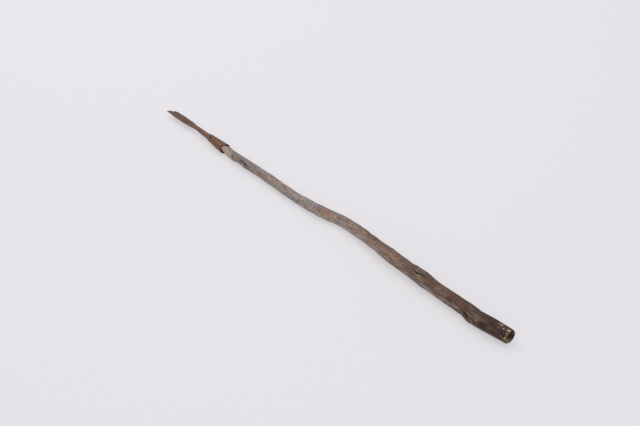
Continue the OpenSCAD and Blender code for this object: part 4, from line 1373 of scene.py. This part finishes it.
def iron_material(finish):
    """Old forged iron: purple-brown rust, grey edges, orange bloom and dark pits."""
    material, tree, shader = new_material("rusted_iron")
    coords = node(tree, "ShaderNodeAttribute", attribute_name="grain").outputs["Vector"]
    mottles = effect(tree, MOTTLES, Vector=coords, Scale=75.0, Cover=0.5)
    broad = effect(tree, MOTTLES, Vector=coords, Scale=24.0, Cover=0.5)
    drawn = effect(tree, STREAKS, Vector=coords, Along=70.0, Across=330.0)
    breakup = span(tree, noise(tree, coords, scale=260.0, detail=4.0, rough=0.7), 0.3, 0.7, 0.5, 1.2)
    purple = calc(tree, "MAXIMUM", broad["Patch"], times(tree, mask(tree, "purple"), 0.9))
    colour = mix(tree, purple, finish.rust_brown, finish.rust_purple)
    colour = stain(tree, colour, mottles["Patch"], finish.rust_red, 0.5)
    olive, edge, orange = (times(tree, mask(tree, label), breakup, clamp=True)
                           for label in ("olive", "edge", "orange"))
    colour = stain(tree, colour, olive, finish.iron_olive, 0.75)
    colour = stain(tree, colour, edge, finish.iron_grey, 0.7)
    colour = stain(tree, colour, orange, finish.rust_orange, 0.6)
    colour = stain(tree, colour, mottles["Speck"], finish.rust_orange, 0.5)
    # The mask fed in as Tone carries painted shade on the socket's top and underside.
    shade = effect(tree, SHADE, Vector=coords, Streak=drawn["Streak"], Fine=drawn["Fine"],
                   Tone=mask(tree, "top_shade_and_tone"), Streak_low=0.75, Streak_high=1.15, Fine_low=0.86, Fine_high=1.1,
                   Grit_scale=380.0, Grit_low=0.78, Grit_high=1.2)["Shade"]
    colour = darkened(tree, colour, shade)
    colour = stain(tree, colour, mask(tree, "pit"), finish.dark_iron_and_painted_shade, 0.6)
    # Seam: a dark joint, with painted shade in its open eye.
    colour = mix(tree, mask(tree, "seam"), colour, finish.dark_iron_and_painted_shade)
    # Painted shade on the rim and the band by the mouth; dark iron down the hollow.
    colour = stain(tree, colour, mask(tree, "inside"), finish.dark_iron_and_painted_shade, 0.9)
    dust = effect(tree, DUST, Vector=coords, Amount=0.1)["Dust"]
    colour = mix(tree, dust, colour, finish.dust)
    rough = span(tree, drawn["Streak"], 0.0, 1.0, 0.66, 0.84)
    rough = calc(tree, "SUBTRACT", rough, times(tree, edge, 0.12), clamp=True)
    height = times(tree, noise(tree, coords, scale=1500.0, detail=3.0, rough=0.6), 0.4)
    height = plus(tree, noise(tree, coords, scale=420.0, detail=5.0, rough=0.65), height)
    height = plus(tree, height, times(tree, mottles["Speck"], 0.3))
    finish_shader(tree, shader, colour, rough, height, strength=0.6, distance=0.0005)
    feed(tree, shader.inputs["Metallic"], times(tree, edge, 0.35))
    shader.inputs["Specular IOR Level"].default_value = 0.28
    return material


def sliver_material(finish):
    """Fresh fibres where the butt has split."""
    material, tree, shader = new_material("torn_wood")
    coords = node(tree, "ShaderNodeAttribute", attribute_name="grain").outputs["Vector"]
    streaks = effect(tree, STREAKS, Vector=coords, Along=60.0, Across=900.0)
    patches = effect(tree, MOTTLES, Vector=coords, Scale=120.0, Cover=0.5)
    colour = mix(tree, streaks["Streak"], finish.torn_dark, finish.torn_wood)
    colour = stain(tree, colour, patches["Patch"], finish.pared_wood, 0.5)
    rough = span(tree, streaks["Fine"], 0.0, 1.0, 0.6, 0.85)
    finish_shader(tree, shader, colour, rough, streaks["Fine"], strength=0.5, distance=0.0003)
    return material


# What a user changes


def colour_property(label, description, r, g, b):
    """Colour setting of the finish."""
    return FloatVectorProperty(name=label, description=description, subtype="COLOR", size=4,
                               min=0.0, max=1.0, default=(r, g, b, 1.0))


def depth_property(label, description, depth, deepest):
    """Depth setting of the shape."""
    return FloatProperty(name=label, description=description, default=depth, min=0.0, max=deepest,
                         unit="LENGTH", precision=5)


class HARPOON_PG_shape(bpy.types.PropertyGroup):
    """Depths of the worked and weathered surfaces."""

    grain_relief: depth_property("Grain relief", "Height of the raised fibres of the branch", 0.00034, 0.001)
    bark_depth: depth_property("Bark flakes", "Thickness of the skin of bark that is left", 0.00028, 0.001)
    crack_depth: depth_property("Knot crack", "Depth of the crack in the big knot", 0.0042, 0.008)
    torn_depth: depth_property("Torn butt", "How deep the outer wood has broken away", 0.0015, 0.004)
    hammer_relief: depth_property("Hammer flats", "Depth of the flats left by the hammer", 0.00055, 0.002)
    pit_depth: depth_property("Rust pits", "Depth of the pits in the iron", 0.00026, 0.001)


class HARPOON_PG_finish(bpy.types.PropertyGroup):
    """Colours of the wood and the iron."""

    grey_wood: colour_property("Grey wood", "Weathered wood near the head", 0.355, 0.295, 0.265)
    pale_wood: colour_property("Pale wood", "Bleached wood a third of the way along", 0.400, 0.362, 0.345)
    brown_wood: colour_property("Brown wood", "Wood half way along", 0.355, 0.272, 0.225)
    deep_wood: colour_property("Deep brown wood", "Wood three quarters along", 0.235, 0.150, 0.112)
    butt_wood: colour_property("Butt wood", "Dark wood at the butt", 0.112, 0.062, 0.044)
    fore_bark: colour_property("Bark at the head", "Flakes of bark near the head", 0.230, 0.178, 0.162)
    mid_bark: colour_property("Bark half way", "Flakes of bark half way along", 0.220, 0.145, 0.105)
    butt_bark: colour_property("Bark at the butt", "Nearly black bark at the butt", 0.050, 0.029, 0.021)
    warm_stain: colour_property("Warm stain", "Tint of the cloudy stain all over", 0.860, 0.720, 0.640)
    blot_stain: colour_property("Small blots", "Tint of the small dark blots all over", 0.620, 0.530, 0.500)
    moss_stain: colour_property("Olive cloud", "Tint of the green-grey clouds all over", 0.830, 0.880, 0.760)
    red_stain: colour_property("Red stain", "Tint of the red-brown patches", 0.900, 0.600, 0.500)
    orange_stain: colour_property("Orange stain", "Salmon patches", 0.400, 0.205, 0.140)
    amber_stain: colour_property("Amber stain", "Rust-brown wood near the butt", 0.170, 0.070, 0.025)
    olive_stain: colour_property("Olive stain", "Green-grey patches", 0.235, 0.220, 0.165)
    tan_wood: colour_property("Tan wood", "Rubbed tan wood", 0.330, 0.225, 0.140)
    # Partly painted sheen along the shaft's side at directions 176 to 196, partly grey patches.
    grey_and_side_sheen: colour_property("Grey side", "Bare grey wood along one side", 0.290, 0.255, 0.265)
    dark_stain: colour_property("Dark stain", "Dark specks and clouds", 0.040, 0.028, 0.024)
    dark_patch: colour_property("Dark patches", "Tint of the dark patches", 0.360, 0.300, 0.340)
    russet_stain: colour_property("Russet stain", "Red brown patches", 0.130, 0.046, 0.032)
    violet_stain: colour_property("Violet stain", "Dark violet patches", 0.040, 0.030, 0.042)
    dark_mark: colour_property("Dark marks", "Tint of the small crisp marks", 0.220, 0.190, 0.205)
    pared_wood: colour_property("Pared wood", "Whittled wood at the socket", 0.485, 0.378, 0.315)
    pared_shadow: colour_property("Pared grain", "Darker grain of the whittled wood", 0.370, 0.278, 0.228)
    pared_stain: colour_property("Pared stain", "Grey-brown swirls on the whittled wood", 0.270, 0.215, 0.180)
    torn_wood: colour_property("Torn wood", "Bare fibres at the butt", 0.765, 0.515, 0.338)
    torn_red: colour_property("Red torn wood", "Stained fibres at the butt", 0.250, 0.095, 0.032)
    torn_dark: colour_property("Torn hollows", "Between the bare fibres", 0.090, 0.042, 0.022)
    end_face: colour_property("End face", "Sawn end of the butt", 0.033, 0.022, 0.018)
    end_brown: colour_property("Brown end wood", "Paler side of the sawn end", 0.110, 0.062, 0.026)
    # Painted shade: near black in cracks, checks, twig-scar holes and the end face's split and hollow heart.
    crack: colour_property("Crack", "Inside of cracks and knot holes", 0.018, 0.011, 0.007)
    dust: colour_property("Dust", "Dust on the upper faces", 0.400, 0.370, 0.350)
    rust_brown: colour_property("Brown rust", "Main rust of the head", 0.180, 0.094, 0.068)
    rust_purple: colour_property("Purple rust", "Darker, purple rust", 0.125, 0.070, 0.062)
    rust_red: colour_property("Red rust", "Warmer rust in patches", 0.225, 0.096, 0.056)
    rust_orange: colour_property("Orange rust", "Bright rust on the seam and in specks", 0.290, 0.122, 0.042)
    iron_olive: colour_property("Olive rust", "Dull olive bloom at point and mouth", 0.135, 0.098, 0.062)
    iron_grey: colour_property("Grey iron", "Rubbed iron at the edges", 0.165, 0.150, 0.130)
    # Also the painted shade on the socket's rim, by its mouth and in the seam's open eye.
    dark_iron_and_painted_shade: colour_property("Dark iron", "Seam, pits and the inside of the socket", 0.022, 0.015, 0.012)


# The stage

# Floor: half its width, steps of its mesh, gap under the object, and its finish, which glows a little
FLOOR_HALF = 9.0
FLOOR_STEPS = 12
FLOOR_GAP = 0.0002
FLOOR_COLOUR = (0.335, 0.327, 0.339, 1)
FLOOR_GLOW = (0.99, 0.97, 1.0, 1)
FLOOR_GLOW_STRENGTH = 0.457
FLOOR_ROUGHNESS = 0.95
FLOOR_SHINE = 0.1
# Sky: its colour, and its strength at the horizon and overhead
SKY_COLOUR = (0.985, 0.975, 1.0, 1)
SKY_LOW = 0.42
SKY_HIGH = 0.98
# Lights: name, place, size, power
LIGHTS = (("key_light", (-1.55, 0.55, 2.7), 2.6, 27.0), ("fill_light", (2.3, -1.9, 0.9), 2.4, 14.0))
# Camera: where it stands, its level direction to the right, how far it looks down, its lens
CAMERA_PLACE = Vector((2.121574, -2.108852, 2.621064))
CAMERA_RIGHT = Vector((0.70182, 0.71236, 0.0))
CAMERA_DOWN = 41.0
LENS = 90.0
SENSOR = 36.0


def lay_floor(scene):
    """Wide pale floor just under the object."""
    line = np.linspace(-FLOOR_HALF, FLOOR_HALF, FLOOR_STEPS + 1)
    points = [(x, y, CAD_BOX[0][2] - FLOOR_GAP) for y in line for x in line]
    row = FLOOR_STEPS + 1
    corners = [j * row + i for j in range(FLOOR_STEPS) for i in range(FLOOR_STEPS)]
    mesh = bpy.data.meshes.new("floor")
    mesh.from_pydata(points, [], [(a, a + 1, a + row + 1, a + row) for a in corners])
    floor = bpy.data.objects.new("floor", mesh)
    scene.collection.objects.link(floor)
    material, _, shader = new_material("pale_floor")
    shader.inputs["Base Color"].default_value = FLOOR_COLOUR
    shader.inputs["Emission Color"].default_value = FLOOR_GLOW
    shader.inputs["Emission Strength"].default_value = FLOOR_GLOW_STRENGTH
    shader.inputs["Roughness"].default_value = FLOOR_ROUGHNESS
    shader.inputs["Specular IOR Level"].default_value = FLOOR_SHINE
    mesh.materials.append(material)


def hang_lights(scene):
    """Soft white sky, brighter overhead, and two wide lamps that face the object."""
    world = bpy.data.worlds.new("studio")
    scene.world = world
    world.use_nodes = True
    tree = world.node_tree
    sky = tree.nodes["Background"]
    sky.inputs["Color"].default_value = SKY_COLOUR
    upward = node(tree, "ShaderNodeTexCoord").outputs["Generated"]
    height = node(tree, "ShaderNodeSeparateXYZ", {0: upward}).outputs[2]
    feed(tree, sky.inputs["Strength"], span(tree, height, 0.0, 1.0, SKY_LOW, SKY_HIGH))
    for name, place, size, power in LIGHTS:
        light = bpy.data.lights.new(name, "AREA")
        light.size = size
        light.energy = power
        lamp = bpy.data.objects.new(name, light)
        lamp.location = place
        lamp.rotation_euler = (-Vector(place)).to_track_quat("-Z", "Y").to_euler()
        scene.collection.objects.link(lamp)


def place_camera(scene):
    """Camera at the photograph's angle: it looks down along the floor, level from side to side."""
    down = np.radians(CAMERA_DOWN)
    level = Vector((-CAMERA_RIGHT.y, CAMERA_RIGHT.x, 0))
    ahead = level * np.cos(down) + Vector((0, 0, -1)) * np.sin(down)
    camera_data = bpy.data.cameras.new("camera")
    camera_data.lens = LENS
    camera_data.sensor_width = SENSOR
    camera = bpy.data.objects.new("camera", camera_data)
    turn = Matrix((CAMERA_RIGHT, CAMERA_RIGHT.cross(ahead), -ahead)).transposed().to_4x4()
    camera.matrix_world = Matrix.Translation(CAMERA_PLACE) @ turn
    scene.collection.objects.link(camera)
    scene.camera = camera
    scene.view_settings.view_transform = "Standard"


# Operators


class HARPOON_OT_forge_head(bpy.types.Operator):
    """Build the iron head with its blade, neck and lapped socket"""

    bl_idname = "harpoon.forge_head"
    bl_label = "Forge the head"

    def execute(self, context):
        piece = tube_object("forged_head", *forging_grid(context.scene.harpoon_shape))
        piece.data.materials.append(iron_material(context.scene.harpoon_finish))
        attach(piece, "head")
        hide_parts("iron_head")
        return {"FINISHED"}


class HARPOON_OT_grow_branch(bpy.types.Operator):
    """Build the branch shaft with its knots, cracks and whittled end"""

    bl_idname = "harpoon.grow_branch"
    bl_label = "Grow the branch"

    def execute(self, context):
        piece = tube_object("branch_shaft", *branch_grid(context.scene.harpoon_shape))
        piece.data.materials.append(wood_material(context.scene.harpoon_finish))
        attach(piece, "shaft")
        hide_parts("shaft")
        return {"FINISHED"}


class HARPOON_OT_split_butt(bpy.types.Operator):
    """Build the slivers that stand off the torn butt"""

    bl_idname = "harpoon.split_butt"
    bl_label = "Split the butt"

    def execute(self, context):
        points, faces, coords = sliver_mesh()
        piece = mesh_object("butt_splinters", in_model_frame(points), faces, coords)
        piece.data.materials.append(sliver_material(context.scene.harpoon_finish))
        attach(piece, "shaft")
        return {"FINISHED"}


class HARPOON_OT_set_stage(bpy.types.Operator):
    """Set the pale floor, the soft light and the camera"""

    bl_idname = "harpoon.set_stage"
    bl_label = "Set the stage"

    def execute(self, context):
        lay_floor(context.scene)
        hang_lights(context.scene)
        place_camera(context.scene)
        return {"FINISHED"}


class HARPOON_PT_panel(bpy.types.Panel):
    """Buttons and settings of the harpoon"""

    bl_label = "Harpoon"
    bl_idname = "HARPOON_PT_panel"
    bl_space_type = "VIEW_3D"
    bl_region_type = "UI"
    bl_category = "Harpoon"

    def draw(self, context):
        layout = self.layout
        for operator in OPERATORS:
            layout.operator(operator.bl_idname)
        for group in (context.scene.harpoon_shape, context.scene.harpoon_finish):
            box = layout.box()
            for name in group.bl_rna.properties.keys():
                if name not in ("rna_type", "name"):
                    box.prop(group, name)


OPERATORS = (HARPOON_OT_forge_head, HARPOON_OT_grow_branch, HARPOON_OT_split_butt, HARPOON_OT_set_stage)
CLASSES = (HARPOON_PG_shape, HARPOON_PG_finish, *OPERATORS, HARPOON_PT_panel)


def register():
    """Register the classes and the scene's settings."""
    for cls in CLASSES:
        bpy.utils.register_class(cls)
    bpy.types.Scene.harpoon_shape = PointerProperty(type=HARPOON_PG_shape)
    bpy.types.Scene.harpoon_finish = PointerProperty(type=HARPOON_PG_finish)


def unregister():
    """Take the settings and the classes away again."""
    del bpy.types.Scene.harpoon_finish
    del bpy.types.Scene.harpoon_shape
    for cls in reversed(CLASSES):
        bpy.utils.unregister_class(cls)


def main():
    """Register, and build every piece and the stage."""
    register()
    bpy.ops.harpoon.forge_head()
    bpy.ops.harpoon.grow_branch()
    bpy.ops.harpoon.split_butt()
    bpy.ops.harpoon.set_stage()


if __name__ == "__main__":
    main()
